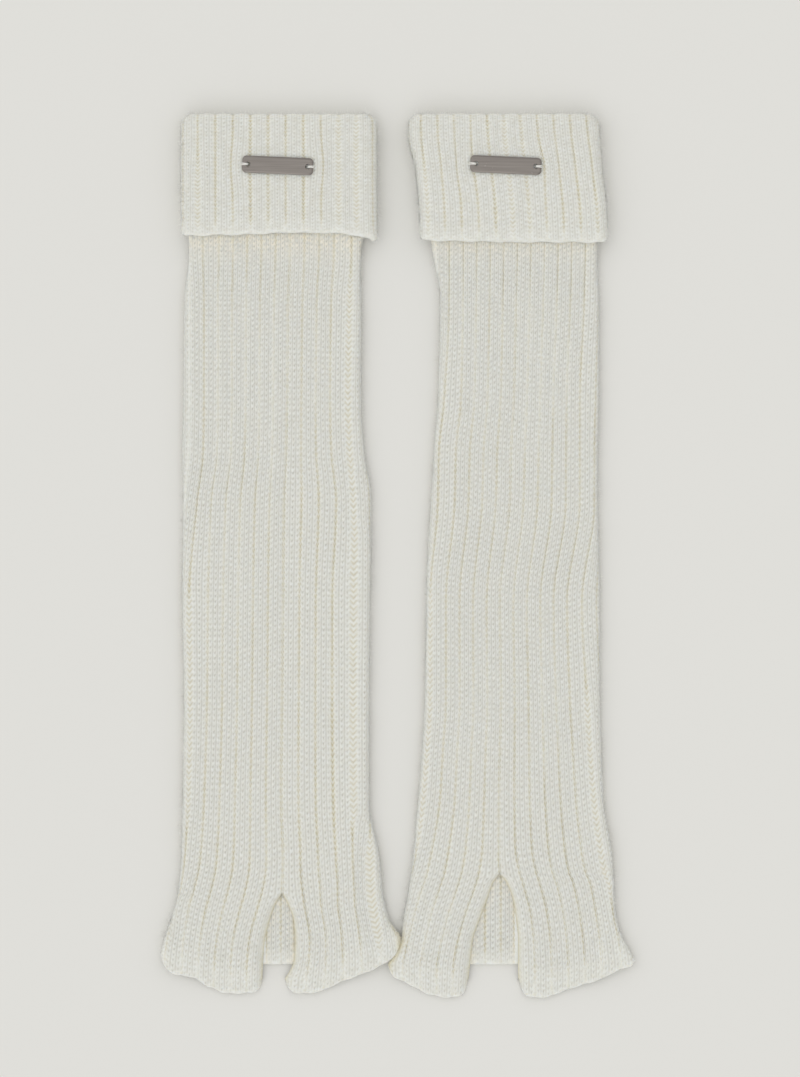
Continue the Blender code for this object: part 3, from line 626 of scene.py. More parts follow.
def knit_wall(name, outer, lining, material):
    """A closed wall of knit: its outer face, its lining, and a narrow edge between the two."""
    points = []
    index = []
    for face in (outer, lining):
        rows, columns = face.points.shape[:2]
        start = sum(len(part) for part in points)
        numbers = start + np.arange(rows * columns).reshape(rows, columns)
        if face.mirrored:
            turn = np.arange(face.side_end + 1, rows)
            for side in (0, -1):
                numbers[turn, side] = numbers[2 * face.mirrored - turn, side]
        index.append(numbers)
        points.append(face.points.reshape(-1, 3))
    points = np.concatenate(points)
    faces = []
    for numbers, face in zip(index, (outer, lining)):
        faces += grid_faces(numbers, face.cut).tolist()
    broad = len(faces)
    edges = [grid_edges(numbers, face.cut, face.side_end) for numbers, face in zip(index, (outer, lining))]
    for outer_edge, lining_edge in zip(*edges):
        faces += lace(points, outer_edge, lining_edge)
    mesh = bpy.data.meshes.new(name)
    mesh.from_pydata((points * MM).tolist(), [], faces)
    for label in Tones._fields:
        values = np.concatenate([getattr(face.tones, label).ravel() for face in (outer, lining)])
        mesh.attributes.new(label, "FLOAT", "POINT").data.foreach_set("value", values.astype(np.float32))
    bm = bmesh.new()
    bm.from_mesh(mesh)
    for edge in bm.edges:
        edge.smooth = len({face.index < broad for face in edge.link_faces}) == 1
    loose = [vertex for vertex in bm.verts if not vertex.link_faces]
    bmesh.ops.delete(bm, geom=loose, context="VERTS")
    bmesh.ops.recalc_face_normals(bm, faces=bm.faces)
    bm.to_mesh(mesh)
    bm.free()
    return add_piece(name, mesh, material)


def plain_face(points, cut=None):
    """A lining: no grooves and no stitches."""
    return Face(points, Tones(*np.zeros((len(Tones._fields),) + points.shape[:2])), cut, len(points) - 1, 0)


def knit_material():
    """Wool-blend yarn, spun thick and loosely, and knitted into a rib.

    It is matt with a faint bloom of loose fibres, and cream on the ribs. Shade is painted into its colour:
    grey in the gaps of the loops, tan down in the purl wales, painted for the light caught between the ribs,
    along the slit's edges, where the legs touch, and close under the cuff.
    """
    material, tree = new_material("rib_knit_wool_blend")
    place = add_node(tree, "ShaderNodeTexCoord").outputs["Object"]
    tones = {label: add_node(tree, "ShaderNodeAttribute", {"attribute_name": label}).outputs["Fac"]
             for label in Tones._fields}
    cloud, tuft, fibre = [
        add_node(tree, "ShaderNodeTexNoise", {"noise_dimensions": "3D"},
                 {"Vector": place, "Scale": 1.0 / (size * MM), "Detail": detail}).outputs["Fac"]
        for size, detail in ((CLOUD_SIZE, 2.0), (TUFT_SIZE, 2.0), (FIBRE_SIZE, 3.0))]
    uneven = add_node(tree, "ShaderNodeMapRange", None,
                      {"Value": tuft, "From Min": 0.34, "From Max": 0.66}).outputs["Result"]
    colours = {}
    # Painted shade, in the order of the mixes: tan under the cuff and beside the slit, grey or tan in the
    # gaps of the loops, and tan in the grooves, along the slit's edges and where the legs touch. The cloud
    # and the tufts are the yarn's own uneven tone.
    for name, factor, first, second in (("cream", cloud, "#EEEFE8", "#ECEDE9"),
                                        ("sheltered", tones["warmth"], "cream", "#F6F0E0"),
                                        ("shaded", uneven, "#E3E3DB", "sheltered"),
                                        ("between", tones["purl"], "#CFCDC2", "#CFC5A8"),
                                        ("flecked", tones["stitch"], "shaded", "between"),
                                        ("warm", tones["groove"], "flecked", "#CFC5A0")):
        first, second = [colours[end] if end in colours else linear(end) for end in (first, second)]
        colours[name] = add_node(tree, "ShaderNodeMix", {"data_type": "RGBA"},
                                 {"Factor": factor, "A": first, "B": second}).outputs["Result"]
    bump = add_node(tree, "ShaderNodeBump", None, {"Height": fibre, "Strength": 0.5, "Distance": 0.15 * MM})
    feed(tree, tree.nodes["Principled BSDF"], {
        "Base Color": colours["warm"], "Normal": bump.outputs["Normal"], "Roughness": 0.95,
        "Specular IOR Level": 0.2, "Subsurface Weight": 0.35, "Subsurface Radius": (1.0, 0.9, 0.75),
        "Subsurface Scale": 2.0 * MM, "Sheen Weight": 0.15, "Sheen Roughness": 0.6})
    return material


knit = knit_material()


def rim_rows(start, heights, courses, angles=RIM_ANGLES):
    """Adds the rows that round off a hem. Gives the height, course and drop of each row."""
    radius = WALL / 2.0
    angles = np.radians(angles)
    offsets = np.concatenate((start + radius * (1.0 - np.sin(angles)), heights))
    drops = np.concatenate((radius * (1.0 - np.cos(angles)), np.zeros(len(heights))))
    courses = np.concatenate((np.full(len(angles), 0.5), courses))
    return offsets[:, None], courses[:, None], drops[:, None]


def leg_rows(hem, rows, angles=RIM_ANGLES):
    """The rows of a leg's outer face: knitted up into the cuff, and sparse where the cuff hides it."""
    heights, courses = course_rows(hem + WALL / 2.0, BACK_CUFF_HEM + UNDER_CUFF, rows, leg_course)
    hidden = np.arange(heights[-1] + 8.0, LEG_TOP - 1.0, HIDDEN_STEP)
    courses = np.concatenate((courses, np.full(len(hidden) + 1, 0.5)))
    return rim_rows(hem, np.concatenate((heights, hidden, [LEG_TOP])), courses, angles)


def leg_reach(row):
    """The length round half of a leg, from the middle of one side fold to that of the other."""
    return row["right"] - row["left"] - 2.0 * FOLD_RADIUS + math.pi * FOLD_RADIUS


def from_left(row, place):
    """The length from the left fold to a place that lies nearer to it."""
    return fold_length(place - row["left"], FOLD_RADIUS)


def from_right(row, place):
    """The length from the left fold to a place that lies nearer to the right one."""
    return leg_reach(row) - fold_length(row["right"] - place, FOLD_RADIUS)


def in_order(length, reach):
    """Keeps the columns of a half apart and in order, with the outermost two on its folds."""
    order = np.arange(length.shape[1])
    length = np.clip(length, COLUMN_STEP * order, reach - COLUMN_STEP * order[::-1])
    length[:, 0] = 0.0
    length[:, -1] = reach[:, -1]
    return length


def front_outer(leg, draw):
    """The ribbed upper face of a leg's front, as points in order of row and column."""
    columns = wale_columns(leg.grooves, range(STEPS))
    slit = int(np.flatnonzero((columns[:, 0] == leg.slit_groove) & (columns[:, 1] == 0.0))[0])
    halves = [(leg.slit_groove - 1, SLIT_STEPS[-1]), (leg.slit_groove, STEPS - SLIT_STEPS[-1])]
    columns = np.concatenate((columns[:slit], halves, columns[slit + 1:]))
    groove, step = columns[:, 0], columns[:, 1]
    is_left = np.arange(len(columns)) <= slit
    flat, courses, drops = leg_rows(HEM_LEVEL, 3)
    follow = 1.0 - ease((flat - HEM_LEVEL) / HEM_REACH)
    corner_follow = 1.0 - ease((flat - HEM_LEVEL) / CORNER_REACH)
    fade = ease((flat - HEM_LEVEL) / HEM_FADE) * ease((BACK_CUFF_HEM + UNDER_CUFF - 1.0 - flat) / 2.0)
    slant = loop_slant(step)
    scallop = HEM_SCALLOP * np.cos(2.0 * math.pi * step / STEPS)
    y = flat + 0.0 * step[None, :]
    for _ in range(SETTLING):
        row = {part: measure(leg.sections, part, y) for part in Section._fields[1:]}
        calm_left = steady(leg.sections, "slit_left", y)
        calm_right = steady(leg.sections, "slit_right", y)
        opened = ease((row["slit_right"] - row["slit_left"]) / ROLL_OPENING)
        before = purl_half(leg.spreads, groove[None, :], y)
        after = purl_half(leg.spreads, groove[None, :] + 1.0, y)
        before = np.where(groove == leg.slit_groove, before * (1.0 - opened), before)
        after = np.where(groove == leg.slit_groove - 1, after * (1.0 - opened), after)
        phase = groove + step_share(step, before, after)
        reach = leg_reach(row)
        length_1, length_2, length_left = [from_left(row, row[part])
                                           for part in ("groove_1", "groove_2", "slit_left")]
        length_right, length_late, length_last = [from_right(row, row[part])
                                                  for part in ("slit_right", "groove_late", "groove_last")]
        outer_left = length_1 + (phase - 1.0) * (length_2 - length_1)
        inner_left = (length_2 + (length_left + calm_left - row["slit_left"] - length_2)
                      * (phase - 2.0) / (leg.slit_groove - 2.0)
                      + (row["slit_left"] - calm_left) * ease(phase - leg.slit_groove + 1.0))
        inner_right = (length_late + (length_right + calm_right - row["slit_right"] - length_late)
                       * (leg.late_groove - phase) / (leg.late_groove - leg.slit_groove)
                       + (row["slit_right"] - calm_right) * ease(leg.slit_groove + 1.0 - phase))
        between = (length_late + (length_last - length_late) * (phase - leg.late_groove)
                   / (leg.grooves - leg.late_groove))
        length = np.where(is_left, np.where(phase < 2.0, outer_left, inner_left),
                          np.where(phase > leg.late_groove, between, inner_right))
        for i, angle in enumerate(np.radians(SLIT_ANGLES)):
            roll = SLIT_ROLL * (1.0 - math.sin(angle))
            back = slit - len(SLIT_STEPS) + 1 + i
            ahead = slit + len(SLIT_STEPS) - i
            rolled_left = length_left[:, back] - roll
            rolled_right = length_right[:, ahead] + roll
            length[:, back] += (rolled_left - length[:, back]) * opened[:, back]
            length[:, ahead] += (rolled_right - length[:, ahead]) * opened[:, ahead]
        length = in_order(length, reach)
        x, height, lean, toward = tube_place(row["left"], row["right"], length, reach, FOLD_RADIUS)
        low = np.where(is_left, leg.hem_left[0].x, leg.hem_right[0].x + CORNER_WIDTH)
        high = np.where(is_left, leg.hem_left[-1].x - CORNER_WIDTH, leg.hem_right[-1].x)
        calm_x = np.clip(x, low, high)
        calm = np.where(is_left, hem_at(leg.hem_left, calm_x), hem_at(leg.hem_right, calm_x))
        edge = np.where(is_left, hem_at(leg.hem_left, x), hem_at(leg.hem_right, x))
        settled = (flat + (calm - HEM_LEVEL + scallop) * follow + (edge - calm) * corner_follow
                   + slant * fade * leg_course(0.0))
        y = np.minimum((y + settled) / 2.0, LEG_TOP)
    from_slit = np.abs(np.arange(len(columns)) - slit - 0.5)
    opened_edge = opened * (from_slit < len(SLIT_STEPS))
    fade = fade * (1.0 - SLIT_CALM * opened * (from_slit < len(SLIT_STEPS) + 3))
    band = np.maximum(ease((flat - HEM_LEVEL - RIM) / HEM_BAND), BAND_LEAST)
    relief, tones = knit_relief(draw, leg.spreads, leg.closings, leg.grooves, groove, step, courses, y,
                                length, band * (1.0 - opened_edge), fade)
    from_edge = np.where(is_left, length_left - length, length - length_right)
    roll_drop = SLIT_DROP * np.clip(1.0 - from_edge / SLIT_SLOPE, 0.0, 1.0) ** ROLL_POWER
    relief = relief + roll_drop * opened + drops + crease_depth(leg.creases, x, y)
    floor = front_floor(leg, x, y)
    touch = np.exp(-(np.hypot(x - TOUCHING[0], y - TOUCHING[1]) / TOUCH_REACH) ** 2)
    x = x + toward * relief * np.cos(lean) + TOUCH_PRESS * touch * (1.0 if leg is LEFT else -1.0)
    z = floor - LAYER + FOLD_MIDDLE + FOLD_GAP + height - relief * np.sin(lean)
    # Painted shade close under the cuff: the knit's colour turns tan there.
    under_cuff = np.exp(-((BACK_CUFF_HEM - 2.0 - y) / CUFF_SHADE) ** 2)
    # Painted contact shade along the slit's edges and where the two legs touch, added to the groove's painted
    # shade.
    contact = opened * (roll_drop / SLIT_DROP) ** SLIT_SHADE_FALL
    from_other = row["right"] - x if leg is LEFT else x - row["left"]
    joined = touch * np.exp(-(from_other / TOUCH_SHADE_REACH) ** 2)
    painted_contact_shade = SLIT_SHADE * contact + TOUCH_SHADE * joined
    tones = tones._replace(groove=np.clip(tones.groove + painted_contact_shade, 0.0, 1.0), warmth=under_cuff)
    points = np.stack((x, y, z), axis=2)
    slit_row = int(np.argmax(flat[:, 0] + (hem_at(leg.hem_left, leg.hem_left[-1].x - CORNER_WIDTH)
                                           - HEM_LEVEL) * follow[:, 0] >= leg.slit_top))
    return Face(points, tones, (slit_row, slit), len(points) - 1, 0), flat[slit_row, 0]


def front_lining(leg, slit_flat):
    """The plain inner face of a leg's front."""
    shares = np.linspace(0.0, 1.0, LINING_COLUMNS)
    beside_slit = np.linspace(HEM_LEVEL + LINING_STEP, slit_flat, SLIT_ROWS)
    above_slit = np.linspace(slit_flat + LINING_STEP, LEG_TOP - 1.0, LINING_ROWS)
    flat = np.concatenate((HEM_LEVEL + np.array(LINING_STARTS), beside_slit, above_slit,
                           [LEG_TOP]))[:, None]
    follow = 1.0 - ease((flat - HEM_LEVEL) / HEM_REACH)
    corner_follow = 1.0 - ease((flat - HEM_LEVEL) / CORNER_REACH)
    halves = []
    for left, hem in ((True, leg.hem_left), (False, leg.hem_right)):
        y = flat + 0.0 * shares
        for _ in range(SETTLING):
            row = {part: measure(leg.sections, part, y)
                   for part in ("left", "slit_left", "slit_right", "right")}
            opened = ease((row["slit_right"] - row["slit_left"]) / SLIT_OPENING)
            inset = LINING_INSET + OPENED_INSET * opened
            if left:
                low, high = row["left"] + 1.0, row["slit_left"] - inset
            else:
                low, high = row["slit_right"] + inset, row["right"] - 1.0
            x = low + (high - low) * shares
            calm_x = np.clip(x, hem[0].x + (0.0 if left else CORNER_WIDTH),
                             hem[-1].x - (CORNER_WIDTH if left else 0.0))
            calm, edge = hem_at(hem, calm_x), hem_at(hem, x)
            y = (y + flat + (calm - HEM_LEVEL) * follow + (edge - calm) * corner_follow) / 2.0
        z = front_floor(leg, x, y) + LINING_RAISE * (flat < HEM_LEVEL + 1.0)
        halves.append(np.stack((x, y, z), axis=2))
    return plain_face(np.concatenate(halves, axis=1), (1 + SLIT_ROWS, len(shares) - 1))


# Each front, in place of its node. Its outer face is kept for the loose fibres.
surfaces = []
for leg in (LEFT, RIGHT):
    draw = np.random.default_rng(FRONT_SEEDS[leg.name])
    outer, slit_flat = front_outer(leg, draw)
    surfaces.append((leg.name, outer.points, 1.0, FRONT_FIBRES, FIBRE_TOP))
    piece = knit_wall(leg.name + "_leg_front_knit", outer, front_lining(leg, slit_flat), knit)
    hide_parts(leg.name + "_leg_front")
    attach(piece, "root")


# ---------------------------------------------------------------------------------------------
# Backs of the legs: the lower half of each tube, in the same knit. The back lies on the surface,
# climbs onto the turned-down cuff, and shows in the slit of the front, above its own hem.
BACK_SHIFT = 0.42
BACK_RIM_ANGLES = (62.0, 32.0)
WINDOW_TOP = 8.0
WINDOW_BAND = 10.0
WINDOW_DEPTH = 1.35
WINDOW_SHADE = 3.0
BACK_BAND_LEAST = 0.25
BACK_FADE = 4.0
BACK_STEP = 15.0
SIDE_COLUMNS = 6
BACK_FIBRES = 0.3
BACK_SEEDS = {"left": 21, "right": 22}


def back_outer(leg, draw):
    """The ribbed underside of a leg's back, with its two side folds."""
    columns = wale_columns(leg.grooves, range(0, STEPS, 2))
    groove, step = columns[:, 0], columns[:, 1]
    flat, courses, drops = leg_rows(BACK_HEM, 2, BACK_RIM_ANGLES)
    corner_follow = 1.0 - ease((flat - BACK_HEM) / CORNER_REACH)
    fade = ease((flat - BACK_HEM) / BACK_FADE) * ease((BACK_CUFF_HEM + UNDER_CUFF - 1.0 - flat) / 2.0)
    y = flat + 0.0 * step
    for _ in range(SETTLING):
        row = {part: measure(leg.sections, part, y) for part in Section._fields[1:]}
        half = purl_half((), groove, y)
        phase = groove + step_share(step, half, half) - BACK_SHIFT
        reach = leg_reach(row)
        slit = (row["slit_left"] + row["slit_right"]) / 2.0
        length_1, length_2, length_slit = [from_left(row, place)
                                           for place in (row["groove_1"], row["groove_2"], slit)]
        length_late, length_last = [from_right(row, row[part]) for part in ("groove_late", "groove_last")]
        length = np.where(
            phase < 2.0, length_1 + (phase - 1.0) * (length_2 - length_1),
            np.where(phase < leg.slit_groove,
                     length_2 + (length_slit - length_2) * (phase - 2.0) / (leg.slit_groove - 2.0),
                     np.where(phase < leg.late_groove,
                              length_slit + ((length_late - length_slit) * (phase - leg.slit_groove)
                                             / (leg.late_groove - leg.slit_groove)),
                              length_late + ((length_last - length_late) * (phase - leg.late_groove)
                                             / (leg.grooves - leg.late_groove)))))
        length = in_order(length, reach)
        x, height, lean, toward = tube_place(row["left"], row["right"], length, reach, FOLD_RADIUS)
        y = np.minimum((y + flat + (hem_at(leg.hem_back, x) - BACK_HEM) * corner_follow) / 2.0, LEG_TOP)
    band = np.maximum(ease((flat - BACK_HEM - RIM) / HEM_BAND), BACK_BAND_LEAST)
    relief, tones = knit_relief(draw, (), (), leg.grooves, groove, step, courses, y, length, band, fade)
    relief = relief + drops + crease_depth(leg.back_creases, x, y)
    x = x + toward * relief * np.cos(lean)
    z = rise_onto_cuff(y) + FOLD_MIDDLE - FOLD_GAP - height + relief * np.sin(lean)
    return Face(np.stack((x, y, z), axis=2), tones, None, len(flat) - 1, 0)


def back_lining(leg, draw):
    """The upper face of a leg's back: plain, but knitted where the front's slit shows it."""
    columns = [(rank, step) for rank in range(len(leg.window) - 1) for step in range(STEPS)]
    columns = np.array(columns + [(len(leg.window) - 1, 0)], float)
    groove, step = columns[:, 0], columns[:, 1]
    half = np.full(len(columns), PURL_SHARE)
    across = np.interp(groove + step_share(step, half, half), range(len(leg.window)), leg.window)
    heights, courses = course_rows(BACK_HEM + WALL / 2.0, leg.slit_top + WINDOW_TOP, 3, leg_course)
    above = np.append(np.arange(heights[-1] + BACK_STEP, LEG_TOP - 4.0, BACK_STEP), LEG_TOP)
    courses = np.concatenate((courses, np.full(len(above), 0.5)))
    flat, courses, drops = rim_rows(BACK_HEM, np.concatenate((heights, above)), courses)
    fade = ease((flat - BACK_HEM) / BACK_FADE) * ease((leg.slit_top + WINDOW_TOP - flat) / 2.0)
    left_share = np.linspace(0.0, 1.0, SIDE_COLUMNS)
    y = flat + np.zeros(2 * SIDE_COLUMNS + len(columns))
    slant = np.concatenate((np.zeros(SIDE_COLUMNS), loop_slant(step), np.zeros(SIDE_COLUMNS)))
    corner_follow = 1.0 - ease((flat - BACK_HEM) / CORNER_REACH)
    for _ in range(SETTLING):
        left = measure(leg.sections, "left", y[:, :1]) + 1.0
        right = measure(leg.sections, "right", y[:, -1:]) - 1.0
        x = np.concatenate((left + (across[0] - 0.5 - left) * left_share, across + 0.0 * flat,
                            right + (across[-1] + 0.5 - right) * left_share[::-1]), axis=1)
        settled = flat + (hem_at(leg.hem_back, x) - BACK_HEM) * corner_follow + slant * fade * LEG_COURSE
        y = np.minimum((y + settled) / 2.0, LEG_TOP)
    middle = slice(SIDE_COLUMNS, SIDE_COLUMNS + len(columns))
    band = np.maximum(ease((flat - BACK_HEM - RIM) / WINDOW_BAND), BACK_BAND_LEAST)
    band = band * WINDOW_DEPTH + 0.0 * step
    relief, shown = knit_relief(draw, (), (), len(leg.window), groove, step, courses, y[:, middle],
                                across + 0.0 * flat, band, fade)
    # Painted shade beside the front's slit edges, where the window shows: the knit's colour turns tan there.
    from_slit = np.minimum(np.abs(across - measure(leg.sections, "slit_left", y[:, middle])),
                           np.abs(across - measure(leg.sections, "slit_right", y[:, middle])))
    shown = shown._replace(warmth=np.exp(-(from_slit / WINDOW_SHADE) ** 2))
    seen = flat < leg.slit_top + WINDOW_TOP
    z = rise_onto_cuff(y) + WALL - drops
    z[:, middle] -= relief * seen
    face = plain_face(np.stack((x, y, z), axis=2))
    for whole, part in zip(face.tones, shown):
        whole[:, middle] = part * seen
    return face


for leg in (LEFT, RIGHT):
    draw = np.random.default_rng(BACK_SEEDS[leg.name])
    outer = back_outer(leg, draw)
    surfaces.append((leg.name, outer.points, -1.0, BACK_FIBRES, FIBRE_TOP))
    piece = knit_wall(leg.name + "_leg_back_knit", outer, back_lining(leg, draw), knit)
    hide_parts(leg.name + "_leg_back")
    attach(piece, "root")


# ---------------------------------------------------------------------------------------------
# Turned-down cuffs: the top of each tube, folded down outside the leg, in a tighter course of
# the same rib. Front and back halves wrap the sides and roll over the top of the leg.
STACK = 4.0 * WALL + 3.0 * GAP
MIDDLE = STACK / 2.0
CUFF_RADIUS = MIDDLE - FOLD_GAP
CUFF_TOP = 230.0
TURN = WALL + GAP / 2.0
TURN_STEPS = 14
CORNER_RADIUS = 6.5
CUFF_COURSE = 1.95
CUFF_LOOPS = 0.9
CUFF_HEM_REACH = 30.0
CUFF_HEM_BAND = 9.0
CUFF_HEM_ROLL = 0.2
TOP_SCALLOP = 0.5
TURN_CALM = 1.2
HEM_SHAPE_REACH = 12.0
HEM_WAVE = 0.35
HEM_WAVE_TURN = 0.41
HEM_WAVE_START = 2.0
HEM_ROLL_HEIGHT = 3.0
HEM_ROLL_REACH = 2.6
CUFF_BAND_LEAST = 0.12
TURN_LOOPS = 0.4
TURN_BAND = 0.3
CUFF_LINING_LEVELS = (BACK_CUFF_HEM + 0.3, BACK_CUFF_HEM + 5.0, 185.0, 200.0, 215.0,
                      CUFF_TOP - TURN)
CUFF_LINING_EDGE = 0.3
CUFF_LINING_SPANS = 7
CUFF_HEM_CORNER = 2.0
PLATE_HALF = 18.5
PLATE_PUSH = 1.5
PUSH_PAST = 2.0
PUSH_ACROSS = 5.0
PUSH_ALONG = 11.0
CUFF_FRONT_FIBRES = 3.5
CUFF_BACK_FIBRES = 0.4
CUFF_SEEDS = {"left_cuff_back": 31, "left_cuff_front": 32, "right_cuff_back": 33, "right_cuff_front": 34}
CUFF_BACK_HEM = (Hem(-200.0, BACK_CUFF_HEM), Hem(200.0, BACK_CUFF_HEM))


def cuff_edges(leg, y):
    """A cuff's measures at y, with its top corners rounded."""
    row = {part: measure(leg.cuff, part, y) for part in CuffSection._fields[1:]}
    corner = np.clip(1.0 - (CUFF_TOP - y) / CORNER_RADIUS, 0.0, 1.0)
    inset = CORNER_RADIUS * (1.0 - np.sqrt(1.0 - corner * corner))
    row["left"] = row["left"] + inset
    row["right"] = row["right"] - inset
    return row


def round_plate(leg, x, y):
    """How far sideways the ribs are pushed round the ends of the plate that is sewn on them."""
    away = x - leg.plate[0]
    near_end = np.exp(-((np.abs(away) - PLATE_HALF - PUSH_PAST) / PUSH_ACROSS) ** 2)
    return PLATE_PUSH * np.sign(away) * near_end * np.exp(-((y - leg.plate[1]) / PUSH_ALONG) ** 2)


def hem_shape(row, flat, x):
    """How a cuff's hem waves, and rounds off towards its two lower corners."""
    low = ease(1.0 - (flat - BACK_CUFF_HEM) / HEM_SHAPE_REACH)
    from_side = np.minimum(x - row["left"], row["right"] - x)
    corner = np.clip(1.0 - from_side / CUFF_HEM_CORNER, 0.0, 1.0)
    rounding = CUFF_HEM_CORNER * (1.0 - np.sqrt(1.0 - corner * corner))
    return (HEM_WAVE * np.sin(HEM_WAVE_TURN * x + HEM_WAVE_START) + rounding) * low


def cuff_outer(leg, draw, front):
    """The ribbed outer face of half of a cuff, from its hem up and over the top."""
    hem = leg.cuff_hem if front else CUFF_BACK_HEM
    columns = wale_columns(leg.cuff_grooves, range(STEPS))
    groove, step = columns[:, 0], columns[:, 1]
    heights, courses = course_rows(BACK_CUFF_HEM + WALL / 2.0, CUFF_TOP - TURN, 3, lambda y: CUFF_COURSE)
    heights[-1] = CUFF_TOP - TURN
    turning = np.arange(1, TURN_STEPS + 1) * math.pi / TURN_STEPS
    top_row = len(RIM_ANGLES) + len(heights) - 1
    heights = np.concatenate((heights, CUFF_TOP - TURN + TURN * np.sin(turning)))
    courses = np.concatenate((courses, courses[-1] + np.arange(1, TURN_STEPS + 1) / 3.0))
    flat, courses, drops = rim_rows(BACK_CUFF_HEM, heights, courses)
    turned = np.concatenate((np.zeros(top_row + 1), turning))[:, None]
    follow = 1.0 - ease((flat - BACK_CUFF_HEM) / CUFF_HEM_REACH)
    fade = (CUFF_LOOPS * ease((flat - BACK_CUFF_HEM) / HEM_FADE)
            * (1.0 - TURN_LOOPS * ease(turned / TURN_CALM)))
    slant = loop_slant(step) * ease((flat - BACK_CUFF_HEM) / 4.0) * ease((CUFF_TOP - TURN - flat) / 3.0)
    y = flat + 0.0 * step
    for _ in range(4):
        row = cuff_edges(leg, y)
        spreads = leg.cuff_spreads if front else ()
        phase = groove + step_share(step, purl_half(spreads, groove, y),
                                    purl_half(spreads, groove + 1.0, y)) - 1.0
        reach = row["right"] - row["left"] - 2.0 * CUFF_RADIUS + math.pi * CUFF_RADIUS
        first = fold_length(row["first"] - row["left"], CUFF_RADIUS)
        last = reach - fold_length(row["right"] - row["last"], CUFF_RADIUS)
        length = first + (last - first) * phase / (leg.cuff_grooves - 1.0)
        length = in_order(length, reach)
        x, height, lean, toward = tube_place(row["left"], row["right"], length, reach, CUFF_RADIUS)
        if front:
            x = x + round_plate(leg, x, y)
        y = flat + (hem_at(hem, x) - BACK_CUFF_HEM) * follow + slant * CUFF_COURSE + hem_shape(row, flat, x)
    band = np.maximum(ease((flat - BACK_CUFF_HEM - RIM) / CUFF_HEM_BAND), CUFF_BAND_LEAST)
    relief, tones = knit_relief(draw, spreads, (), leg.cuff_grooves, groove, step, courses, y, length,
                                band * (1.0 - TURN_BAND * ease(turned / TURN_CALM)), fade)
    hem_roll = (front * CUFF_HEM_ROLL
                * np.exp(-((flat - BACK_CUFF_HEM - HEM_ROLL_HEIGHT) / HEM_ROLL_REACH) ** 2))
    scallop = TOP_SCALLOP * ((step - STEPS / 2) / 8.0) ** 2 * np.sin(turned)
    relief = relief + drops - hem_roll + scallop
    middle = height / 2.0
    out = relief * np.sin(lean)
    droop = rise_onto_cuff(y) - LAYER if front else 0.0
    z = MIDDLE + FOLD_GAP + droop + middle + (middle - out) * np.cos(turned)
    relief_y = out * np.sin(turned)
    x = x + toward * relief * np.cos(lean) * np.abs(np.cos(turned))
    y = y - relief_y
    if not front:
        z = STACK - z
    x[:, (0, -1)] = np.stack((row["left"][:, 0], row["right"][:, -1]), axis=1)
    return Face(np.stack((x, y, z), axis=2), tones, None, top_row, top_row + TURN_STEPS // 2)


def cuff_lining(leg, front):
    """The plain inner face of half of a cuff, round the leg."""
    hem = leg.cuff_hem if front else CUFF_BACK_HEM
    inner = CUFF_RADIUS - WALL
    flat = np.array(CUFF_LINING_LEVELS)[:, None]
    row = cuff_edges(leg, flat)
    slopes = np.radians((0.0, 45.0, 90.0))
    left = [row["left"] + CUFF_LINING_EDGE * WALL]
    left += [row["left"] + WALL + inner * (1.0 - math.cos(a)) for a in slopes]
    right = [row["right"] - WALL - inner * (1.0 - math.cos(a)) for a in slopes[::-1]]
    right += [row["right"] - CUFF_LINING_EDGE * WALL]
    spans = [left[-1] + (right[0] - left[-1]) * i / CUFF_LINING_SPANS
             for i in range(1, CUFF_LINING_SPANS)]
    x = np.concatenate(left + spans + right, axis=1)
    heights = [0.0] + [inner * math.sin(a) for a in slopes]
    height = np.array(heights + [inner] * len(spans) + heights[::-1])
    follow = 1.0 - ease((flat - BACK_CUFF_HEM) / CUFF_HEM_REACH)
    y = flat + (hem_at(hem, x) - BACK_CUFF_HEM) * follow + hem_shape(row, flat, x)
    droop = rise_onto_cuff(y) - LAYER if front else 0.0
    z = MIDDLE + FOLD_GAP + droop + height + LINING_RAISE * (flat < BACK_CUFF_HEM + 1.0)
    if not front:
        z = STACK - z
    return plain_face(np.stack((x, y, z), axis=2))


for leg in (LEFT, RIGHT):
    for front in (True, False):
        node = leg.name + ("_cuff_front" if front else "_cuff_back")
        draw = np.random.default_rng(CUFF_SEEDS[node])
        outer = cuff_outer(leg, draw, front)
        side, fibres = (1.0, CUFF_FRONT_FIBRES) if front else (-1.0, CUFF_BACK_FIBRES)
        surfaces.append((leg.name, outer.points[:outer.mirrored + 1], side, fibres, CUFF_TOP))
        piece = knit_wall(node + "_knit", outer, cuff_lining(leg, front), knit)
        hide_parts(node)
        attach(piece, "root")


# ---------------------------------------------------------------------------------------------
# Loose fibres: fine ends of wool that stand out of the yarn and blur its outline. Real ones are
# a fortieth of a millimetre thick; these are coarser, so that they show at all.
FIBRE_LENGTH = (0.9, 2.8)
FIBRE_RADII = (0.08, 0.075, 0.03)
FIBRE_SIDES = 3
FIBRE_FLOOR = 0.15
FIBRE_ROOT = 0.2
FIBRE_OUTWARD = 0.9
FIBRE_LEAN = 0.8
FIBRE_LIFT = 0.35
FIBRE_CURL = 0.45
FIBRE_CLOUD = 6.0
FIBRE_FLAT = 0.01
FIBRE_ASKEW = (0.31, 0.47, 0.83)
FIBRE_PACKED = 0.05
FIBRE_SEEDS = {"left": 41, "right": 42}

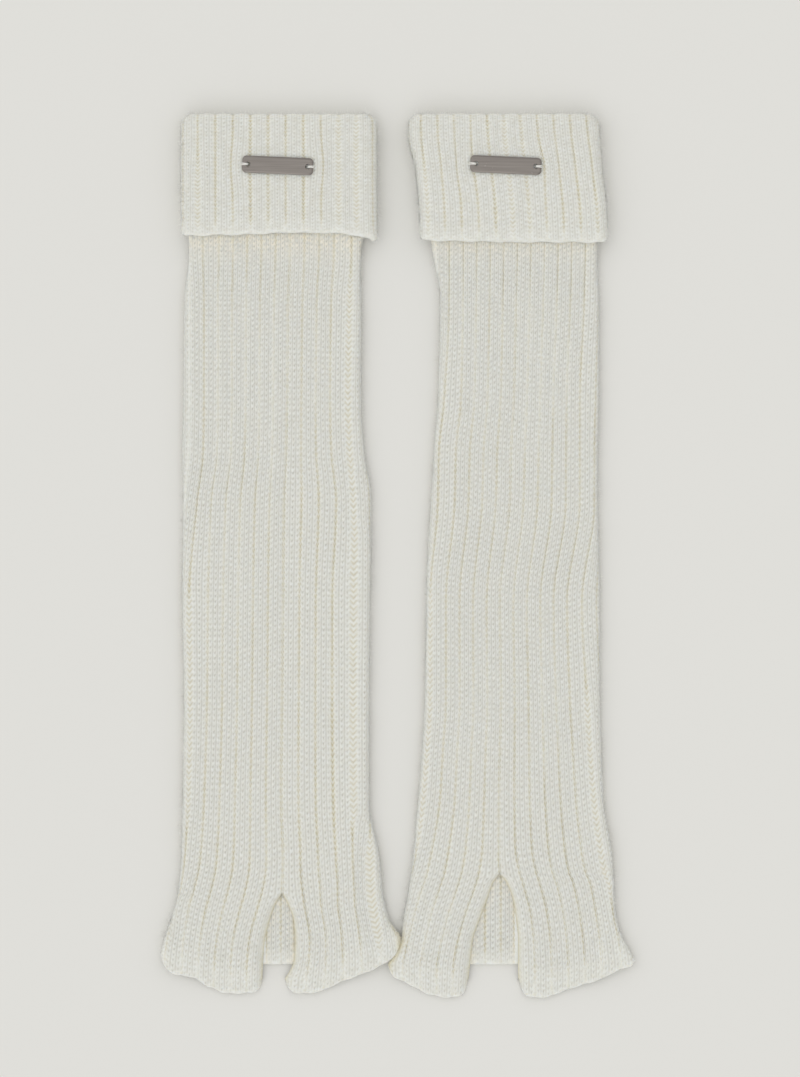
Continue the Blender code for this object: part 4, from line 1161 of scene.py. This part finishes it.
fibre_stuff, tree = new_material("loose_wool_fibre")
place = add_node(tree, "ShaderNodeTexCoord").outputs["Object"]
cloud = add_node(tree, "ShaderNodeTexNoise", None,
                 {"Vector": place, "Scale": 1.0 / (FIBRE_CLOUD * MM)}).outputs["Fac"]
wool = add_node(tree, "ShaderNodeMix", {"data_type": "RGBA"},
                {"Factor": cloud, "A": linear("#FBFAF4"), "B": linear("#EFEEE6")}).outputs["Result"]
feed(tree, tree.nodes["Principled BSDF"], {
    "Base Color": wool, "Roughness": 0.7, "Specular IOR Level": 0.3, "Subsurface Weight": 1.0,
    "Subsurface Radius": (1.0, 1.0, 0.95), "Subsurface Scale": 1.0 * MM})


def unit(vectors):
    """The same directions with a length of one."""
    return vectors / np.maximum(np.linalg.norm(vectors, axis=-1, keepdims=True), 1e-9)


def fibre_paths(points, side, per_mm, top, draw):
    """Paths of loose fibres that start inside a knit face and curl away from it."""
    across = np.gradient(points, axis=1)
    along = np.gradient(points, axis=0)
    outward = side * unit(np.cross(across, along))
    weight = FIBRE_FLAT + (1.0 - np.abs(outward[:, :, 2])) ** 3
    weight = weight * np.linalg.norm(across, axis=2) * np.linalg.norm(along, axis=2)
    weight = weight * (np.linalg.norm(across, axis=2) > FIBRE_PACKED) * (points[:, :, 1] < top)
    round_it = 2.0 * np.ptp(points[:, :, 0]) + 2.0 * np.ptp(points[:, :, 1])
    spots = draw.choice(weight.size, int(per_mm * round_it), p=(weight / weight.sum()).ravel())
    root = points.reshape(-1, 3)[spots]
    outward = outward.reshape(-1, 3)[spots]
    length = draw.uniform(*FIBRE_LENGTH, (len(spots), 1))
    lean = unit(draw.normal(0.0, 1.0, (len(spots), 3)))
    curl = unit(draw.normal(0.0, 1.0, (len(spots), 3)))
    first = unit(FIBRE_OUTWARD * outward + FIBRE_LEAN * lean + np.array((0.0, 0.0, side * FIBRE_LIFT)))
    paths = [root - FIBRE_ROOT * outward]
    for share in (0.5, 1.0):
        paths.append(root + length * (share * first + FIBRE_CURL * share * share * curl))
    paths = np.stack(paths, axis=1)
    paths[:, :, 2] = np.maximum(paths[:, :, 2], FIBRE_FLOOR)
    return paths


def fibre_mesh(name, paths):
    """One mesh of thin tapering fibres, each closed at both ends."""
    ahead = unit(np.gradient(paths, axis=1))
    across = unit(np.cross(paths[:, -1] - paths[:, 0], FIBRE_ASKEW))[:, None]
    sideways = unit(across - ahead * np.sum(ahead * across, axis=2, keepdims=True))
    upward = np.cross(ahead, sideways)
    angles = 2.0 * math.pi * np.arange(FIBRE_SIDES) / FIBRE_SIDES
    rings = (sideways[:, :, None] * np.cos(angles)[:, None] + upward[:, :, None] * np.sin(angles)[:, None])
    points = paths[:, :, None] + rings * np.array(FIBRE_RADII)[:, None, None]
    stations = len(FIBRE_RADII)
    faces = []
    for start in range(0, len(paths) * stations * FIBRE_SIDES, stations * FIBRE_SIDES):
        for station in range(stations - 1):
            low = start + station * FIBRE_SIDES
            for i in range(FIBRE_SIDES):
                j = (i + 1) % FIBRE_SIDES
                faces.append((low + i, low + j, low + FIBRE_SIDES + j, low + FIBRE_SIDES + i))
        last = start + (stations - 1) * FIBRE_SIDES
        faces.append(tuple(range(start + FIBRE_SIDES - 1, start - 1, -1)))
        faces.append(tuple(range(last, last + FIBRE_SIDES)))
    mesh = bpy.data.meshes.new(name)
    mesh.from_pydata((points.reshape(-1, 3) * MM).tolist(), [], faces)
    return mesh


for leg in (LEFT, RIGHT):
    draw = np.random.default_rng(FIBRE_SEEDS[leg.name])
    paths = [fibre_paths(*surface[1:], draw) for surface in surfaces if surface[0] == leg.name]
    mesh = fibre_mesh(leg.name + "_loose_fibres", np.concatenate(paths))
    piece = add_piece(leg.name + "_loose_fibres", mesh, fibre_stuff)
    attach(piece, "root")


# ---------------------------------------------------------------------------------------------
# Plates: one on each cuff, stamped from nickel-plated brass and brushed along its length. Its
# face has a low chamfer all round, and there is a sewing hole near each end. It carries no mark.
PLATE_SIZE = (37.0, 8.9, 1.2)
PLATE_CORNER = 2.3
PLATE_CHAMFER = 0.9
PLATE_CROWN = 0.38
PLATE_EASE = 0.16
PLATE_TILT = -2.5
PLATE_FOOT = STACK + GAP
PLATE_CORNER_STEPS = 8
PLATE_EASE_ANGLE = 50.0
PLATE_SHADE_ANGLE = 18.0
HOLE_SPACING = 31.0
HOLE_RADIUS = 1.2
HOLE_SIDES = 32
DRILL_LENGTH = 4.0

# Real brushing is finer. Its lines are drawn 0.7 mm apart, so that they show.
BRUSHING = (50.0, 1400.0, 50.0)

metal, tree = new_material("brushed_nickel_plate")
place = add_node(tree, "ShaderNodeTexCoord").outputs["Object"]
along = add_node(tree, "ShaderNodeMapping", None, {"Vector": place, "Scale": BRUSHING})
lines = add_node(tree, "ShaderNodeTexNoise", None,
                 {"Vector": along.outputs["Vector"], "Scale": 1.0, "Detail": 2.0}).outputs["Fac"]
bump = add_node(tree, "ShaderNodeBump", None, {"Height": lines, "Strength": 0.1, "Distance": 0.02 * MM})
nickel = add_node(tree, "ShaderNodeMix", {"data_type": "RGBA"},
                  {"Factor": lines, "A": linear("#76706B"), "B": linear("#98928C")}).outputs["Result"]
feed(tree, tree.nodes["Principled BSDF"], {
    "Base Color": nickel, "Normal": bump.outputs["Normal"], "Metallic": 1.0, "Roughness": 0.32})

for leg in (LEFT, RIGHT):
    bpy.ops.object.select_all(action="DESELECT")
    bpy.ops.mesh.primitive_cube_add(size=1.0)
    piece = bpy.context.object
    piece.name = leg.name + "_plate_nickel"
    piece.scale = (PLATE_SIZE[0] * MM, PLATE_SIZE[1] * MM, (PLATE_SIZE[2] - PLATE_CROWN) * MM)
    bpy.ops.object.transform_apply(location=False, rotation=False, scale=True)
    bpy.ops.object.mode_set(mode="EDIT")
    bpy.ops.mesh.select_mode(type="EDGE")
    bpy.ops.mesh.select_all(action="DESELECT")
    bm = bmesh.from_edit_mesh(piece.data)
    for edge in bm.edges:
        first, second = edge.verts
        edge.select = abs(first.co.z - second.co.z) > 0.5 * MM
    bmesh.update_edit_mesh(piece.data)
    bpy.ops.mesh.bevel(offset=PLATE_CORNER * MM, segments=PLATE_CORNER_STEPS)
    bpy.ops.mesh.select_mode(type="FACE")
    bpy.ops.mesh.select_all(action="DESELECT")
    bm = bmesh.from_edit_mesh(piece.data)
    for face in bm.faces:
        face.select = face.normal.z > 0.9
    bmesh.update_edit_mesh(piece.data)
    bpy.ops.mesh.inset(thickness=PLATE_CHAMFER * MM, depth=PLATE_CROWN * MM)
    bpy.ops.object.mode_set(mode="OBJECT")
    for end in (-1.0, 1.0):
        bpy.ops.object.select_all(action="DESELECT")
        bpy.ops.mesh.primitive_cylinder_add(vertices=HOLE_SIDES, radius=HOLE_RADIUS * MM,
                                            depth=DRILL_LENGTH * MM,
                                            location=(end * HOLE_SPACING / 2.0 * MM, 0.0, 0.0))
        drill = bpy.context.object
        bpy.context.view_layer.objects.active = piece
        hole = piece.modifiers.new("sewing_hole", "BOOLEAN")
        hole.operation = "DIFFERENCE"
        hole.solver = "EXACT"
        hole.object = drill
        bpy.ops.object.modifier_apply(modifier=hole.name)
        bpy.data.objects.remove(drill)
    eased = piece.modifiers.new("eased_edges", "BEVEL")
    eased.width = PLATE_EASE * MM
    eased.segments = 2
    eased.limit_method = "ANGLE"
    eased.angle_limit = math.radians(PLATE_EASE_ANGLE)
    bpy.ops.object.modifier_apply(modifier=eased.name)
    middle = PLATE_FOOT + (PLATE_SIZE[2] - PLATE_CROWN) / 2.0
    centre = (leg.plate[0] * MM, leg.plate[1] * MM, middle * MM)
    tilt = Matrix.Rotation(math.radians(PLATE_TILT), 4, "Z")
    piece.data.transform(Matrix.Translation(centre) @ tilt)
    piece.data.materials.append(metal)
    bpy.ops.object.select_all(action="DESELECT")
    piece.select_set(True)
    bpy.context.view_layer.objects.active = piece
    bpy.ops.object.shade_smooth_by_angle(angle=math.radians(PLATE_SHADE_ANGLE))
    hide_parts(leg.name + "_plate")
    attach(piece, "root")


# ---------------------------------------------------------------------------------------------
# Sewing threads: two strands of white polyester thread from each hole, over the end of the
# plate, and down into the knit, which hold the plate on the cuff.
THREAD_RADIUS = 0.27
THREAD_SPACING = 0.55
THREAD_SIDES = 8

thread_stuff, tree = new_material("polyester_sewing_thread")
feed(tree, tree.nodes["Principled BSDF"], {"Base Color": linear("#EFEEE8"), "Roughness": 0.6})


def strand(bm, path, radius):
    """A thread along a path of points in millimetres, closed at both ends."""
    rings = []
    for i, point in enumerate(path):
        ahead = Vector(path[min(i + 1, len(path) - 1)]) - Vector(path[max(i - 1, 0)])
        turn = ahead.to_track_quat("Z", "Y")
        ring = []
        for side in range(THREAD_SIDES):
            angle = 2.0 * math.pi * side / THREAD_SIDES
            offset = turn @ Vector((radius * math.cos(angle), radius * math.sin(angle), 0.0))
            ring.append(bm.verts.new((Vector(point) + offset) * MM))
        rings.append(ring)
    for first, second in zip(rings, rings[1:]):
        for i in range(THREAD_SIDES):
            j = (i + 1) % THREAD_SIDES
            bm.faces.new((first[i], first[j], second[j], second[i]))
    bm.faces.new(rings[0][::-1])
    bm.faces.new(rings[-1])


for leg in (LEFT, RIGHT):
    bm = bmesh.new()
    tilt = Matrix.Rotation(math.radians(PLATE_TILT), 4, "Z")
    turned = Matrix.Translation((leg.plate[0], leg.plate[1], 0.0)) @ tilt
    for end in (-1.0, 1.0):
        for side in (-0.5, 0.5):
            hole = HOLE_SPACING / 2.0
            tip = PLATE_SIZE[0] / 2.0
            top = PLATE_FOOT + PLATE_SIZE[2]
            spread = side * THREAD_SPACING
            path = [(hole + 0.1, spread, PLATE_FOOT + 0.1), (hole + 0.2, spread, top - 0.2),
                    (hole + 0.7, spread, top + 0.25), (hole + 1.6, spread, top + 0.34),
                    (tip - 0.5, spread * 1.2, top + 0.28), (tip + 0.15, spread * 1.3, top - 0.35),
                    (tip + 0.4, spread * 1.3, PLATE_FOOT + 0.1), (tip + 0.45, spread * 1.3, STACK - 0.8)]
            strand(bm, [turned @ Vector((end * x, y, z)) for x, y, z in path], THREAD_RADIUS)
    bmesh.ops.recalc_face_normals(bm, faces=bm.faces)
    mesh = bpy.data.meshes.new(leg.name + "_plate_threads")
    bm.to_mesh(mesh)
    bm.free()
    piece = add_piece(leg.name + "_plate_threads", mesh, thread_stuff)
    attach(piece, "root")


# ---------------------------------------------------------------------------------------------
# Floor and light. The pair lies on a wide pale surface, under soft studio light that comes
# from all round, a little more from the left, and low from below the hems.
FLOOR_SIZE = 24.0
FLOOR_DROP = 0.05

bpy.ops.object.select_all(action="DESELECT")
bpy.ops.mesh.primitive_plane_add(size=FLOOR_SIZE, location=(0.0, 0.0, -FLOOR_DROP * MM))
floor = bpy.context.object
floor.name = "floor"
paper, tree = new_material("matt_paper_floor")
feed(tree, tree.nodes["Principled BSDF"], {
    "Base Color": linear("#E6E5E0"), "Roughness": 0.9, "Specular IOR Level": 0.1})
floor.data.materials.append(paper)

world = bpy.data.worlds.new("studio")
world.use_nodes = True
tree = world.node_tree
feed(tree, tree.nodes["Background"], {"Color": (1.0, 1.0, 1.0, 1.0), "Strength": 0.8})
bpy.context.scene.world = world

LIGHTS = (("soft_window", 0.43, 80.0, (0.6, 0.05, -1.0)), ("low_window", 0.1, 18.0, (0.1, 1.0, -0.9)))
for name, energy, breadth, direction in LIGHTS:
    sun_data = bpy.data.lights.new(name, "SUN")
    sun_data.energy = energy
    sun_data.angle = math.radians(breadth)
    sun = bpy.data.objects.new(name, sun_data)
    sun.rotation_euler = Vector(direction).to_track_quat("-Z", "Y").to_euler()
    bpy.context.scene.collection.objects.link(sun)
bpy.context.scene.view_settings.view_transform = "Standard"
